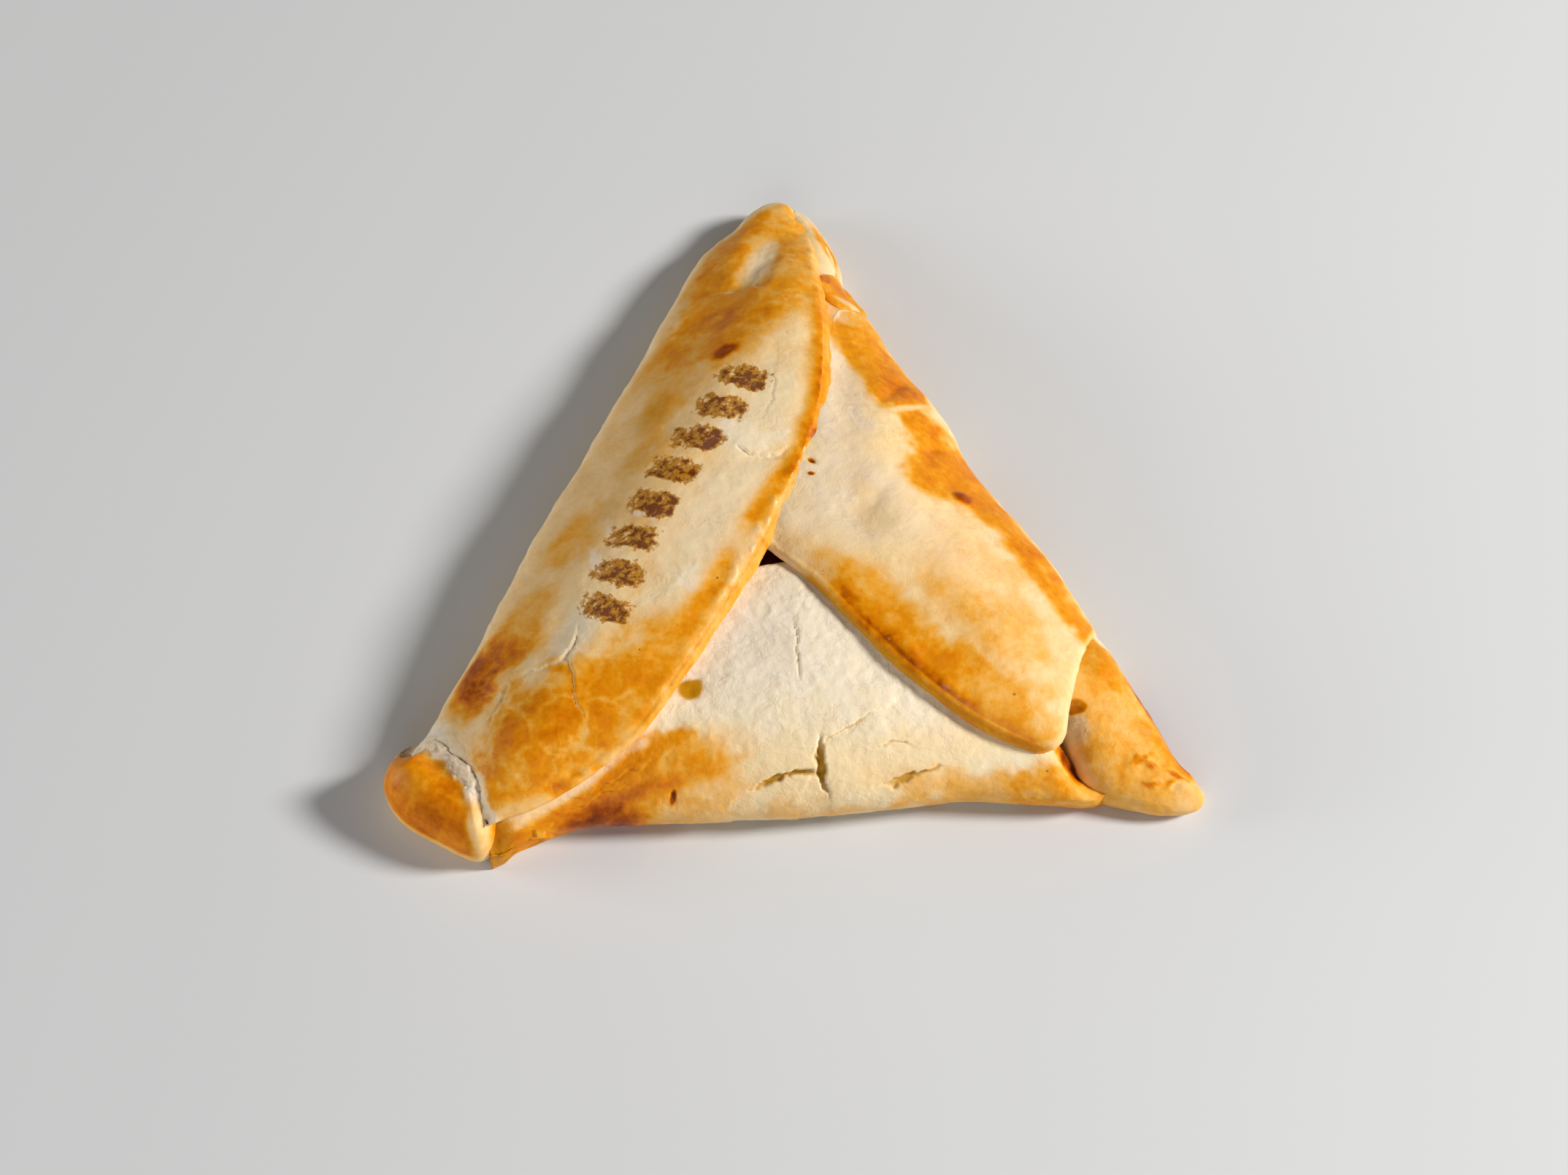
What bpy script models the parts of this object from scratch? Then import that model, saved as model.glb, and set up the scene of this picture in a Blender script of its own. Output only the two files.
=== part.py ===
"""Triangular turnover: a round of dough folded in three over a dark fruit filling.

Two solids: the dough, which is one sheet with three overlapping flaps, and the
filling, which lies in the pocket under them and shows through the small vent
where the flaps meet. Metres, +Z up. The origin is in the middle of the foot.
"""

import bmesh
import bpy
import numpy as np

MM = 0.001

# Driving dimensions, in millimetres.
CROWN = 20.5            # top of the plain dough pillow at its middle
CORNER_CROWN = 10.5     # the same near the three corners
BULGE = 7.5             # height of the widest line of the side wall
CORNER_BULGE = 4.5      # the same at the corners
REACH = 78.0            # from the middle to a corner
SHOULDER = 24.0         # how far in from a side the dough takes to reach full height
SHOULDER_POWER = 2.4    # larger is squarer
FOOT_INSET = 4.5        # the wall tucks in this far from its widest line to the floor
END_TAPER = 0.1         # and less over this share of a flap's length at its hidden ends
LIP = 1.5               # rounding of a flap's free edge, half the thickness of the sheet
LEFT_STEP = 4.6         # the left flap lies on top of the other two
RIGHT_STEP = 3.0        # the right flap lies on the front flap
STEP_START = 5.0        # a flap starts to rise above the pillow this far from its side
STEP_RUN = 18.0         # and has its whole step this much further in
BASE_THICK = 3.2        # sheet under the filling
ROOF_THICK = 4.2        # sheet over the filling
FILLING_SHARE = 0.62    # the filling's outline as a share of the pastry's
FIT_GAP = 0.35          # clearance between the filling and the dough
SKIRT = 3.0             # every lump runs this far below the floor before the foot is cut flat
CELL = 3.0              # spacing of the sections along a flap

MIDDLE = np.array((0.0, -16.0))

# The widest line of each side, seen from above, in millimetres.
LEFT_SIDE = [(-3, 67.5), (-12.5, 57), (-18.5, 47.5), (-27.5, 26.5), (-40.5, 0), (-52, -25.5),
             (-62.5, -46), (-67.5, -55)]
FRONT_SIDE = [(-60, -63), (-49.5, -67.5), (-37, -62), (-28.5, -60), (-13, -59), (0, -59),
              (13.5, -58), (28, -55.5), (43, -56.5), (52, -56), (67, -56)]
RIGHT_SIDE = [(68, -54), (62, -45), (51.5, -25.5), (42, -8), (31, 7.5), (27, 17), (18, 31),
              (14.5, 39.5), (10, 45), (8.5, 50), (7, 55.5), (0, 65.5), (-3, 67.5)]

# Each flap runs from its outer line, on the side wall, to its free edge. Where another
# flap covers the free edge, it is simply carried on under that one.
LEFT_OUTER = [(1.5, 65), (-3, 67.5)] + LEFT_SIDE[1:-1]
LEFT_EDGE = [(2, 64.5), (4.5, 47), (6, 28), (4.5, 7), (-1, -12.5), (-11, -31), (-22, -47.5),
             (-29.5, -54), (-38.5, -59), (-51, -64)]
LEFT_END = [(-62.5, -46), (-59, -46.5), (-54.5, -52), (-52, -57.5), (-51, -64)]

RIGHT_OUTER = [(-0.5, 63.5), (4.5, 60)] + RIGHT_SIDE[-3:2:-1] + [(51, -24.5)]
RIGHT_EDGE = [(-3.5, 59), (-7, 30), (-8.5, 4), (-7, -13), (-4, -18), (3, -23.5), (10, -31.5),
              (17.5, -39), (26, -45), (35, -49), (43, -51.5)]
RIGHT_END = [(51, -24.5), (46, -37), (44.5, -44), (43, -51.5)]

FRONT_OUTER = FRONT_SIDE[1:-2] + [(49, -56), (54, -55)]
FRONT_EDGE = [(-46.5, -62), (-42, -50), (-32, -36), (-20, -25), (-9, -21.5), (-1, -20), (7, -18),
              (32, -38), (47, -49), (52.5, -53)]

# The corners are lumps of spare dough: a rounded cap at the lower left, a lying cone at the
# right and a small peak at the top.
CAP_OUTLINE = [(-61.5, -43.5), (-67.5, -50.5), (-65, -59), (-56.5, -65), (-49, -67.5),
               (-47, -61), (-53, -50)]
CAP_CROWN = 13.0
CAP_BULGE = 5.0
CAP_SHOULDER = 9.0
TIP_OUTLINE = [(51.5, -25.5), (57, -35.5), (62, -45), (68, -53), (65.5, -56.5), (54.5, -55.5),
               (48, -52.5), (44, -41), (46, -29)]
TIP_CROWN = 14.0        # where it comes out from under the right flap
TIP_LOW = 5.5           # at its point
TIP_BULGE = 3.6
TIP_SHOULDER = 8.5
TIP_SPINE = np.array(((47.0, -33.0), (67.0, -55.0)))
PEAK_OUTLINE = [(-11, 57.5), (-6.5, 65), (-3, 67.5), (0.5, 65.5), (3, 60), (3, 54), (-3, 50)]
PEAK_CROWN = 9.5
PEAK_BULGE = 4.0
PEAK_SHOULDER = 8.0


def smooth_curve(points, count, closed=False):
    """Catmull-Rom curve through the points, at `count` places equally far apart along it."""
    p = np.asarray(points, float)
    if closed:
        p = np.vstack([p[-1], p, p[0], p[1]])
    else:
        p = np.vstack([2 * p[0] - p[1], p, 2 * p[-1] - p[-2]])
    t = np.linspace(0, 1, 16, endpoint=False)[:, None, None]
    a, b, c, d = p[:-3], p[1:-2], p[2:-1], p[3:]
    pieces = 0.5 * (2 * b + (c - a) * t + (2 * a - 5 * b + 4 * c - d) * t**2
                    + (3 * b - a - 3 * c + d) * t**3)
    fine = np.vstack([pieces.transpose(1, 0, 2).reshape(-1, 2), p[-2]])
    along = np.append(0, np.cumsum(np.linalg.norm(np.diff(fine, axis=0), axis=1)))
    at = np.linspace(0, along[-1], count + 1)[:-1] if closed else np.linspace(0, along[-1], count)
    return np.stack([np.interp(at, along, fine[:, k]) for k in (0, 1)], axis=1)


def distance_to(curve, xy):
    """Distance from each point to a polyline."""
    start, run = curve[:-1], np.diff(curve, axis=0)
    toward = xy[:, None] - start
    t = np.clip((toward * run).sum(2) / (run**2).sum(1), 0, 1)
    return np.linalg.norm(toward - t[..., None] * run, axis=2).min(1)


SIDES = {name: smooth_curve(points, 120)
         for name, points in (("left", LEFT_SIDE), ("front", FRONT_SIDE), ("right", RIGHT_SIDE))}


def shoulder(distance, reach=SHOULDER):
    """From 0 at a side, rising upright, to a level 1 at `reach` from it."""
    s = np.clip(distance / reach, 0, 1)
    return np.sqrt(1 - (1 - s) ** SHOULDER_POWER)


def rise(distance):
    """Smooth step, the way a flap climbs on to the one below it."""
    s = np.clip((distance - STEP_START) / STEP_RUN, 0, 1)
    return s * s * (3 - 2 * s)


def bulge_height(xy):
    r = np.clip(np.linalg.norm(xy - MIDDLE, axis=1) / REACH, 0, 1)
    return BULGE + (CORNER_BULGE - BULGE) * r**2


def pillow(xy):
    """Height of the stuffed dough without its laps: a dome that falls upright to its three sides."""
    r = np.clip(np.linalg.norm(xy - MIDDLE, axis=1) / REACH, 0, 1.1)
    crown = CORNER_CROWN + (CROWN - CORNER_CROWN) * (1 - r**2.2)
    low = bulge_height(xy)
    inside = np.prod([shoulder(distance_to(side, xy)) for side in SIDES.values()], axis=0)
    return low + (crown - low) * inside


def left_top(xy):
    return pillow(xy) + LEFT_STEP * rise(distance_to(SIDES["left"], xy))


def right_top(xy):
    return pillow(xy) + RIGHT_STEP * rise(distance_to(SIDES["right"], xy))


def rounded_off(distance, radius):
    """How far a quarter-round edge has dropped at this distance from the edge."""
    in_reach = radius - np.clip(distance, 0, radius)
    return radius - np.sqrt(radius**2 - in_reach**2)


def new_solid(name, points, faces):
    """A closed mesh object from points in millimetres, its faces turned outwards."""
    mesh = bpy.data.meshes.new(name)
    mesh.from_pydata((np.asarray(points) * MM).tolist(), [], faces)
    shell = bmesh.new()
    shell.from_mesh(mesh)
    bmesh.ops.recalc_face_normals(shell, faces=shell.faces)
    shell.to_mesh(mesh)
    shell.free()
    return bpy.data.objects.new(name, mesh)


def loft(name, rings):
    """A closed body through equal rings of points, fanned shut at both ends."""
    count, around = rings.shape[:2]
    points = np.vstack([rings.reshape(-1, 3), rings[0].mean(0), rings[-1].mean(0)])
    faces = []
    for i in range(count - 1):
        for j in range(around):
            k = (j + 1) % around
            faces.append((i * around + j, i * around + k,
                          (i + 1) * around + k, (i + 1) * around + j))
    last = (count - 1) * around
    for j in range(around):
        k = (j + 1) % around
        faces.append((count * around, k, j))
        faces.append((count * around + 1, last + j, last + k))
    return new_solid(name, points, faces)


def wall_profile(inset, height, skirt, steps=4):
    """The side wall from below the floor up to its widest line, as (inset, z) pairs."""
    steepest = np.radians(65)
    t = np.linspace(steepest, 0, steps)[:, None]
    out = inset * (1 - np.cos(t)) / (1 - np.cos(steepest))
    up = height * (1 - np.sin(t) / np.sin(steepest))
    return np.concatenate([out[:1] * 1.5, out]), np.concatenate([up[:1] - skirt, up])


def patch(outer, edge, start, end, u, s):
    """Coons patch: points at share u along a flap and share s from its outer line to its edge."""
    fine = np.linspace(0, 1, 400)

    def on(curve, at):
        points = smooth_curve(curve, 400)
        return np.stack([np.interp(at, fine, points[:, k]) for k in (0, 1)], axis=-1)

    u2, s2 = u[..., None], s[..., None]
    o, e = on(outer, u), on(edge, u)
    ruled = (1 - s2) * o + s2 * e
    for side, share in ((start, 1 - u2), (end, u2)):
        if side is not None:
            first, last = np.asarray(side[0], float), np.asarray(side[-1], float)
            ruled = ruled + share * (on(side, s) - (1 - s2) * first - s2 * last)
    return ruled


def flap(name, outer, edge, top, start=None, end=None, end_round=LIP, skirt=SKIRT, across=12):
    """A flap as a loft along its side. Each section climbs the wall from the floor, crosses
    the top to the free edge, rounds over its lip and drops straight to below the floor."""
    side = smooth_curve(outer, 200)
    length = np.linalg.norm(np.diff(side, axis=0), axis=1).sum()
    count = int(length / CELL)
    u = np.linspace(0, 1, count)
    if end is not None:
        near_end = 1 - np.array((1.0, 0.3, 0.0)) * end_round / length
        u = np.append(np.linspace(0, near_end[0], count)[:-1], near_end)
        count += 2

    def at(s):
        return patch(outer, edge, start, end, u, s)

    a, b = at(np.zeros(count)), at(np.ones(count))
    width = np.linalg.norm(b - a, axis=1)
    from_end = np.clip(np.minimum(u, 1 - u) / END_TAPER, 0, 1)
    along = np.gradient(a, axis=0)
    square = np.stack([-along[:, 1], along[:, 0]], axis=1)
    square /= np.linalg.norm(square, axis=1)[:, None]
    square *= np.sign((square * (MIDDLE - a)).sum(1))[:, None]
    square += ((b - a) / width[:, None] - square) * (1 - from_end[:, None])
    square /= np.linalg.norm(square, axis=1)[:, None]
    lip = np.minimum(LIP, 0.3 * width)
    foot = np.minimum(FOOT_INSET * (0.08 + 0.92 * from_end), 0.3 * width)
    inset, climb = wall_profile(foot, bulge_height(a), skirt)

    def height(xy):
        z = top(xy)
        if end is not None:
            z = z - rounded_off(distance_to(smooth_curve(end, 40), xy), end_round)
        return z

    section = [np.column_stack([a + square * i[:, None], z]) for i, z in zip(inset, climb)]
    for share in (1 - np.cos(np.linspace(0, np.pi / 2, across)))[1:]:
        xy = at(share * (1 - lip / width))
        section.append(np.column_stack([xy, height(xy)]))
    lip_start, lip_top = section[-1][:, :2], section[-1][:, 2]
    for angle in np.radians((50, 0)):
        xy = lip_start + (b - lip_start) * np.cos(angle)
        section.append(np.column_stack([xy, lip_top - lip * (1 - np.sin(angle))]))
    section.append(np.column_stack([b, np.full(count, -skirt)]))
    return loft(name, np.stack(section, axis=1))


def mound(name, outline, top, low, around=44, rings=7, inset=FOOT_INSET, skirt=SKIRT, floor=0.0):
    """A closed lump over a rounded outline: a polar grid over the top, a wall and a flat foot."""
    edge = smooth_curve(outline, around, closed=True)
    middle = edge.mean(0)
    loop = np.vstack([edge, edge[:1]])
    sections = []
    for share in np.sin(np.linspace(0.12, np.pi / 2, rings)):
        xy = middle + (edge - middle) * share
        sections.append(np.column_stack([xy, top(xy, distance_to(loop, xy))]))
    toward = middle - edge
    toward /= np.linalg.norm(toward, axis=1)[:, None]
    inward, climb = wall_profile(np.full(around, inset), np.full(around, low - floor), skirt)
    for i, z in list(zip(inward, climb))[::-1][1:]:
        sections.append(np.column_stack([edge + toward * i[:, None], z + floor]))
    if skirt == 0:
        sections.pop()
    return loft(name, np.stack(sections))


def dome(crown, bulge, reach):
    """The top of a corner lump: level in its middle, falling upright to its outline."""
    return lambda xy, distance: bulge + (crown - bulge) * shoulder(distance, reach)


def tip_top(xy, distance):
    """The same, with a crown that sinks along the spine towards the point."""
    start, run = TIP_SPINE[0], TIP_SPINE[1] - TIP_SPINE[0]
    along = np.clip((xy - start) @ run / (run @ run), 0, 1)
    crown = TIP_CROWN + (TIP_LOW - TIP_CROWN) * along
    return TIP_BULGE + (crown - TIP_BULGE) * shoulder(distance, TIP_SHOULDER)


def scaled_outline(share, grow=0.0):
    """The pastry's whole outline drawn in towards the middle, then moved out by `grow`."""
    outline = np.vstack([smooth_curve(s, 12)[:-1] for s in (LEFT_SIDE, FRONT_SIDE, RIGHT_SIDE)])
    ray = outline - MIDDLE
    reach = np.linalg.norm(ray, axis=1)[:, None]
    return MIDDLE + ray * (share + grow / reach)


def filling_mound(name, grow):
    """The lens of filling between the base sheet and the flaps, or its pocket if grow is not 0."""
    base = BASE_THICK + FIT_GAP - grow
    side = base + 5.0

    def top(xy, distance):
        roof = pillow(xy) - ROOF_THICK - FIT_GAP + grow
        return side + (roof - side) * shoulder(distance, 14.0)

    return mound(name, scaled_outline(FILLING_SHARE, grow), top, side, around=48, rings=7,
                 inset=2.5, skirt=0, floor=base)


def base_sheet(name):
    return mound(name, scaled_outline(0.84), lambda xy, _: np.full(len(xy), BASE_THICK),
                 BASE_THICK, around=48, rings=3, inset=1.0, skirt=SKIRT - 1)


def material(name, colour, roughness):
    made = bpy.data.materials.new(name)
    made.use_nodes = True
    shader = made.node_tree.nodes["Principled BSDF"]
    shader.inputs["Base Color"].default_value = (*colour, 1)
    shader.inputs["Roughness"].default_value = roughness
    shader.inputs["Metallic"].default_value = 0.0
    return made


def boolean(target, other, operation):
    step = target.modifiers.new(f"{operation.lower()}_{other.name}", "BOOLEAN")
    step.object = other
    step.operation = operation
    step.solver = "EXACT"


def main():
    for obj in list(bpy.data.objects):
        bpy.data.objects.remove(obj)
    model = bpy.data.collections.new("turnover")
    helpers = bpy.data.collections.new("helpers")
    for collection in (model, helpers):
        bpy.context.scene.collection.children.link(collection)

    dough = flap("dough", FRONT_OUTER, FRONT_EDGE, pillow)
    filling = filling_mound("filling", 0.0)
    for obj in (dough, filling):
        model.objects.link(obj)
    dough.data.materials.append(material("baked_pastry", (0.72, 0.45, 0.17), 0.5))
    filling.data.materials.append(material("dark_fruit_filling", (0.045, 0.008, 0.012), 0.25))

    joined = [
        flap("right_flap", RIGHT_OUTER, RIGHT_EDGE, right_top, end=RIGHT_END, skirt=SKIRT + 1),
        flap("left_flap", LEFT_OUTER, LEFT_EDGE, left_top, end=LEFT_END, end_round=2.5,
             skirt=SKIRT + 2),
        mound("corner_cap", CAP_OUTLINE, dome(CAP_CROWN, CAP_BULGE, CAP_SHOULDER), CAP_BULGE,
              around=36, rings=6, inset=3.0, skirt=SKIRT + 3),
        mound("corner_tip", TIP_OUTLINE, tip_top, TIP_BULGE, around=40, rings=6, inset=2.0,
              skirt=SKIRT + 4),
        mound("corner_peak", PEAK_OUTLINE, dome(PEAK_CROWN, PEAK_BULGE, PEAK_SHOULDER),
              PEAK_BULGE, around=28, rings=5, inset=2.0, skirt=SKIRT + 5),
        base_sheet("base_sheet"),
    ]
    bpy.ops.mesh.primitive_cube_add(size=0.2, location=(0, 0, -0.1))
    below_floor = bpy.context.object
    below_floor.name = "below_floor"
    below_floor.users_collection[0].objects.unlink(below_floor)
    pocket = filling_mound("pocket", FIT_GAP)
    for obj in (*joined, below_floor, pocket):
        helpers.objects.link(obj)
        obj.hide_render = True
        obj.display_type = "WIRE"
    for obj in joined:
        boolean(dough, obj, "UNION")
    boolean(dough, pocket, "DIFFERENCE")
    boolean(dough, below_floor, "DIFFERENCE")


main()
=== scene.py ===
"""A baked triangular turnover: one round of dough folded in three over a dark fruit filling.

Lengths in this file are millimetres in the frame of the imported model, whose origin is in
the middle of the foot, unless a comment says otherwise.
"""

import math
from functools import partial

import bpy
import numpy as np
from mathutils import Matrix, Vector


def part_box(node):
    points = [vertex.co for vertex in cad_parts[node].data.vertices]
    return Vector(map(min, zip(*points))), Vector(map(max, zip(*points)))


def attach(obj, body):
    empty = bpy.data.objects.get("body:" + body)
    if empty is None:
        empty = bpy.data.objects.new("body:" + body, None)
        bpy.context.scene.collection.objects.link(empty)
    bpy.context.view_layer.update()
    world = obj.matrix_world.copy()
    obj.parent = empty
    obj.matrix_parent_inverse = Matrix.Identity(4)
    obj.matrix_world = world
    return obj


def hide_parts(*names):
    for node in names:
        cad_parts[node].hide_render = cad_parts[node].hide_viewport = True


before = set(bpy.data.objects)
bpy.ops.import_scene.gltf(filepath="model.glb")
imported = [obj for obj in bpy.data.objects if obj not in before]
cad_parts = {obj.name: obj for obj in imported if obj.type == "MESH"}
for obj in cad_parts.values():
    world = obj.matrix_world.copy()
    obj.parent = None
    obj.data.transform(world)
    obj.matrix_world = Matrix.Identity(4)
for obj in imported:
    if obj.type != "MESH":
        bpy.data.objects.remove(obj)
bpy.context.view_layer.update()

# ---------------------------------------------------------------- base sheet
# The middle of the round of dough, which the filling was spooned on to. It is about 3 mm
# thick, lies on the baking tray, and its rim turns up into the three flaps.

DOUGH_WIDTH = 135.8
dough_low, dough_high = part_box("dough")
mm = (dough_high.x - dough_low.x) / DOUGH_WIDTH

# The widest line of each side, seen from above.
LEFT_SIDE = [(-3, 68.3), (-13.4, 58.8), (-20, 48.6), (-28.7, 27.1), (-41.2, 0.4), (-52.4, -25.3),
             (-62.7, -45.9), (-67.5, -55)]
FRONT_SIDE = [(-60, -62.4), (-49.6, -65.4), (-44.6, -63.6), (-39, -61.4), (-33.6, -60),
              (-28, -59.5), (-13, -59.0), (0, -58.6), (13.5, -57.4), (28, -55.5), (39, -55.5),
              (48, -55.6), (55.5, -54.5), (67, -56)]
RIGHT_SIDE = [(68, -54), (62, -45), (51.5, -25.5), (42, -8), (31, 7.5), (27, 17), (18, 31), (14, 39.5),
              (10.5, 44.5), (8, 50), (6.8, 55.5), (4.4, 61), (1, 65.8), (-3, 68.3)]
MIDDLE = np.array((0.0, -16.0))
BASE_THICK = 3.2
BASE_INSET = 6.5        # the base sheet stops this far inside the widest line
BASE_FLOOR = 0.02       # just off the table
STEEPEST = math.radians(65)     # the slope of a side wall at its foot


def smooth_curve(points, count, closed=False):
    """Catmull-Rom curve through the points, at `count` places equally far apart along it."""
    p = np.asarray(points, float)
    if closed:
        p = np.vstack([p[-1], p, p[0], p[1]])
    else:
        p = np.vstack([2 * p[0] - p[1], p, 2 * p[-1] - p[-2]])
    t = np.linspace(0, 1, 16, endpoint=False)[:, None, None]
    a, b, c, d = p[:-3], p[1:-2], p[2:-1], p[3:]
    pieces = 0.5 * (2 * b + (c - a) * t + (2 * a - 5 * b + 4 * c - d) * t**2
                    + (3 * b - a - 3 * c + d) * t**3)
    fine = np.vstack([pieces.transpose(1, 0, 2).reshape(-1, p.shape[1]), p[-2]])
    along = np.append(0, np.cumsum(np.linalg.norm(np.diff(fine, axis=0), axis=1)))
    at = np.linspace(0, along[-1], count + 1)[:-1] if closed else np.linspace(0, along[-1], count)
    return np.stack([np.interp(at, along, fine[:, k]) for k in range(p.shape[1])], axis=1)


def distance_to(curve, xy, signed=False):
    """Distance from each point to a polyline: the least distance to any of its segments,
    each found by dropping a perpendicular and holding its foot inside the segment. Signed, it
    is negative on the right of the nearest segment."""
    curve = np.asarray(curve, float)
    flat = xy.reshape(-1, 2)
    best = np.full(len(flat), 1e9)
    left = np.ones(len(flat))
    for start, end in zip(curve[:-1], curve[1:]):
        run = end - start
        off = flat - start
        t = np.clip(off @ run / (run @ run), 0, 1)
        square = ((off - t[:, None] * run) ** 2).sum(1)
        if signed:
            left = np.where(square < best, np.sign(run[0] * off[:, 1] - run[1] * off[:, 0]), left)
        best = np.minimum(best, square)
    return (np.sqrt(best) * left).reshape(xy.shape[:-1])


def smoothstep(low, high, value):
    """0 below low, 1 above high, and 3t^2 - 2t^3 between."""
    t = np.clip((value - low) / (high - low), 0, 1)
    return t * t * (3 - 2 * t)


rng = np.random.default_rng(7)
lattice = rng.random((4, 32, 32, 32))
turns = [np.linalg.qr(rng.normal(size=(3, 3)))[0] for _ in range(8)]


def noise(points, size, layer=0):
    """Value noise from -1 to 1: random numbers on a turned cubic lattice of `size` mm, joined
    by a quintic blend of the eight round each point."""
    p = points @ turns[layer % 8] / size + 0.37 * layer
    cell = np.floor(p).astype(int)
    f = p - cell
    f = f * f * f * (f * (f * 6 - 15) + 10)
    total = np.zeros(points.shape[:-1])
    for corner in np.ndindex(2, 2, 2):
        at = (cell + corner) % 32
        weight = np.prod(np.where(corner, f, 1 - f), axis=-1)
        total += weight * lattice[layer % 4][at[..., 0], at[..., 1], at[..., 2]]
    return 2 * total - 1


def rough(points, size, octaves=3, layer=0):
    """Sum of noises, each half the size and 0.55 times the height of the one before."""
    return sum(0.55**k * noise(points, size / 2**k, layer + k) for k in range(octaves))


def ring_faces(columns, around):
    """Faces of a tube: a quad between each two neighbours in each two neighbouring rings, and
    one many-sided face across each end."""
    i, j = np.meshgrid(np.arange(columns - 1), np.arange(around), indexing="ij")
    k = (j + 1) % around
    quads = np.stack([i * around + j, (i + 1) * around + j, (i + 1) * around + k, i * around + k], -1)
    first = np.arange(around)
    last = (columns - 1) * around + first[::-1]
    return quads.reshape(-1, 4), [first, last]


def new_object(name, data):
    """An object of a mesh, a lamp or a camera, linked into the scene."""
    obj = bpy.data.objects.new(name, data)
    bpy.context.scene.collection.objects.link(obj)
    return obj


FLOUR_BURNS = (0.3, 0.5)        # loose flour goes as the baking rises through this


def make_piece(name, points, material, node="dough", slot="baked_pastry", **finish):
    """A mesh object from a grid of closed rings in millimetres, with one value at each point
    for each part of its finish. It rides on the one body and stands for a solid of the frame."""
    quads, caps = ring_faces(*points.shape[:2])
    sizes = np.concatenate([np.full(len(quads), 4), [len(cap) for cap in caps]]).astype(np.int32)
    corners = np.concatenate([quads.ravel(), *caps]).astype(np.int32)
    mesh = bpy.data.meshes.new(name)
    mesh.vertices.add(points.size // 3)
    mesh.vertices.foreach_set("co", (points * mm).astype(np.float32).ravel())
    mesh.loops.add(len(corners))
    mesh.loops.foreach_set("vertex_index", corners)
    mesh.polygons.add(len(sizes))
    mesh.polygons.foreach_set("loop_start", np.append(0, np.cumsum(sizes)[:-1]).astype(np.int32))
    mesh.polygons.foreach_set("use_smooth", np.ones(len(sizes), bool))
    mesh.update(calc_edges=True)
    mesh.validate()
    if "flour" in finish:
        finish["flour"] = finish["flour"] * (1 - smoothstep(*FLOUR_BURNS, finish["bake"]))
    for key, value in finish.items():
        layer = mesh.attributes.new(key, "FLOAT", "POINT")
        layer.data.foreach_set("value", np.clip(value, 0, 1).astype(np.float32).ravel())
    mesh.materials.append(material)
    obj = new_object(name, mesh)
    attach(obj, "root")
    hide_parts(node)


def colour(code):
    """An sRGB hex code as linear red, green, blue and alpha."""
    s = np.array([int(code[k:k + 2], 16) for k in (0, 2, 4)]) / 255
    return (*np.where(s <= 0.04045, s / 12.92, ((s + 0.055) / 1.055) ** 2.4), 1.0)


def new_material(name):
    """A material, its node tree and its shader."""
    made = bpy.data.materials.new(name)
    made.use_nodes = True
    return made, made.node_tree, made.node_tree.nodes["Principled BSDF"]


def add(tree, kind, inputs=(), out=0, **settings):
    """Adds a node with its settings, and its inputs by name or in order, each a value or
    another node's output. Returns its own output of that name or number."""
    node = tree.nodes.new("ShaderNode" + kind)
    for key, value in settings.items():
        setattr(node, key, value)
    for key, value in inputs.items() if isinstance(inputs, dict) else enumerate(inputs):
        if isinstance(value, bpy.types.NodeSocket):
            tree.links.new(value, node.inputs[key])
        else:
            node.inputs[key].default_value = value
    return node.outputs[out]


# Egg-washed wheat dough, baked: pale and matt with loose flour where it was covered, then
# cream, yellow, orange and brown as the oven reached it. Each piece says by attributes how
# far it is baked, floured, soaked with juice, scorched, crazed and wet with egg; the baking
# and juice ones also carry painted shade in a few places. One that it doesn't have reads as
# none. The nodes add the mottling.
CRUST_STEPS = [(0.00, "F2E4CA"), (0.14, "F0D8A8"), (0.28, "F0CA8E"), (0.42, "ECB25A"),
               (0.48, "EAA63A"), (0.55, "E4920C"), (0.66, "D47600"), (0.80, "A24900"), (1.00, "542203")]
FLOUR_WHITE = "F0E4D2"
JUICE_AND_SHADE_OLIVE = "BC8806"
SCORCH_LIGHT = "B87C20"
SCORCH_DARK = "6E3210"
CREASE_SHADE_GREY = "A08C62"
SPECK_BROWN = "6E3A08"
MOTTLE_SIZE = 5.0       # patches of uneven browning
SPECKLE_SIZE = 1.3      # spots within them
CRAZE_SIZE = 6.5        # plates of the crazed skin
WARP_SIZE = 2.5         # the wandering of their borders
WARP_FAR = 3.6          # and how far they wander
WRINKLE_SIZE = 2.4      # fine wrinkles of the dried skin
GRAIN_SIZE = 0.45       # grain of the floury surface
SPECK_GAP = 6.0         # burnt specks lie about this far apart
RELIEF_DEPTH = 0.35     # the deepest of the fine relief
SCATTER_DEPTH = 1.6     # how far light goes into the crumb


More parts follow.
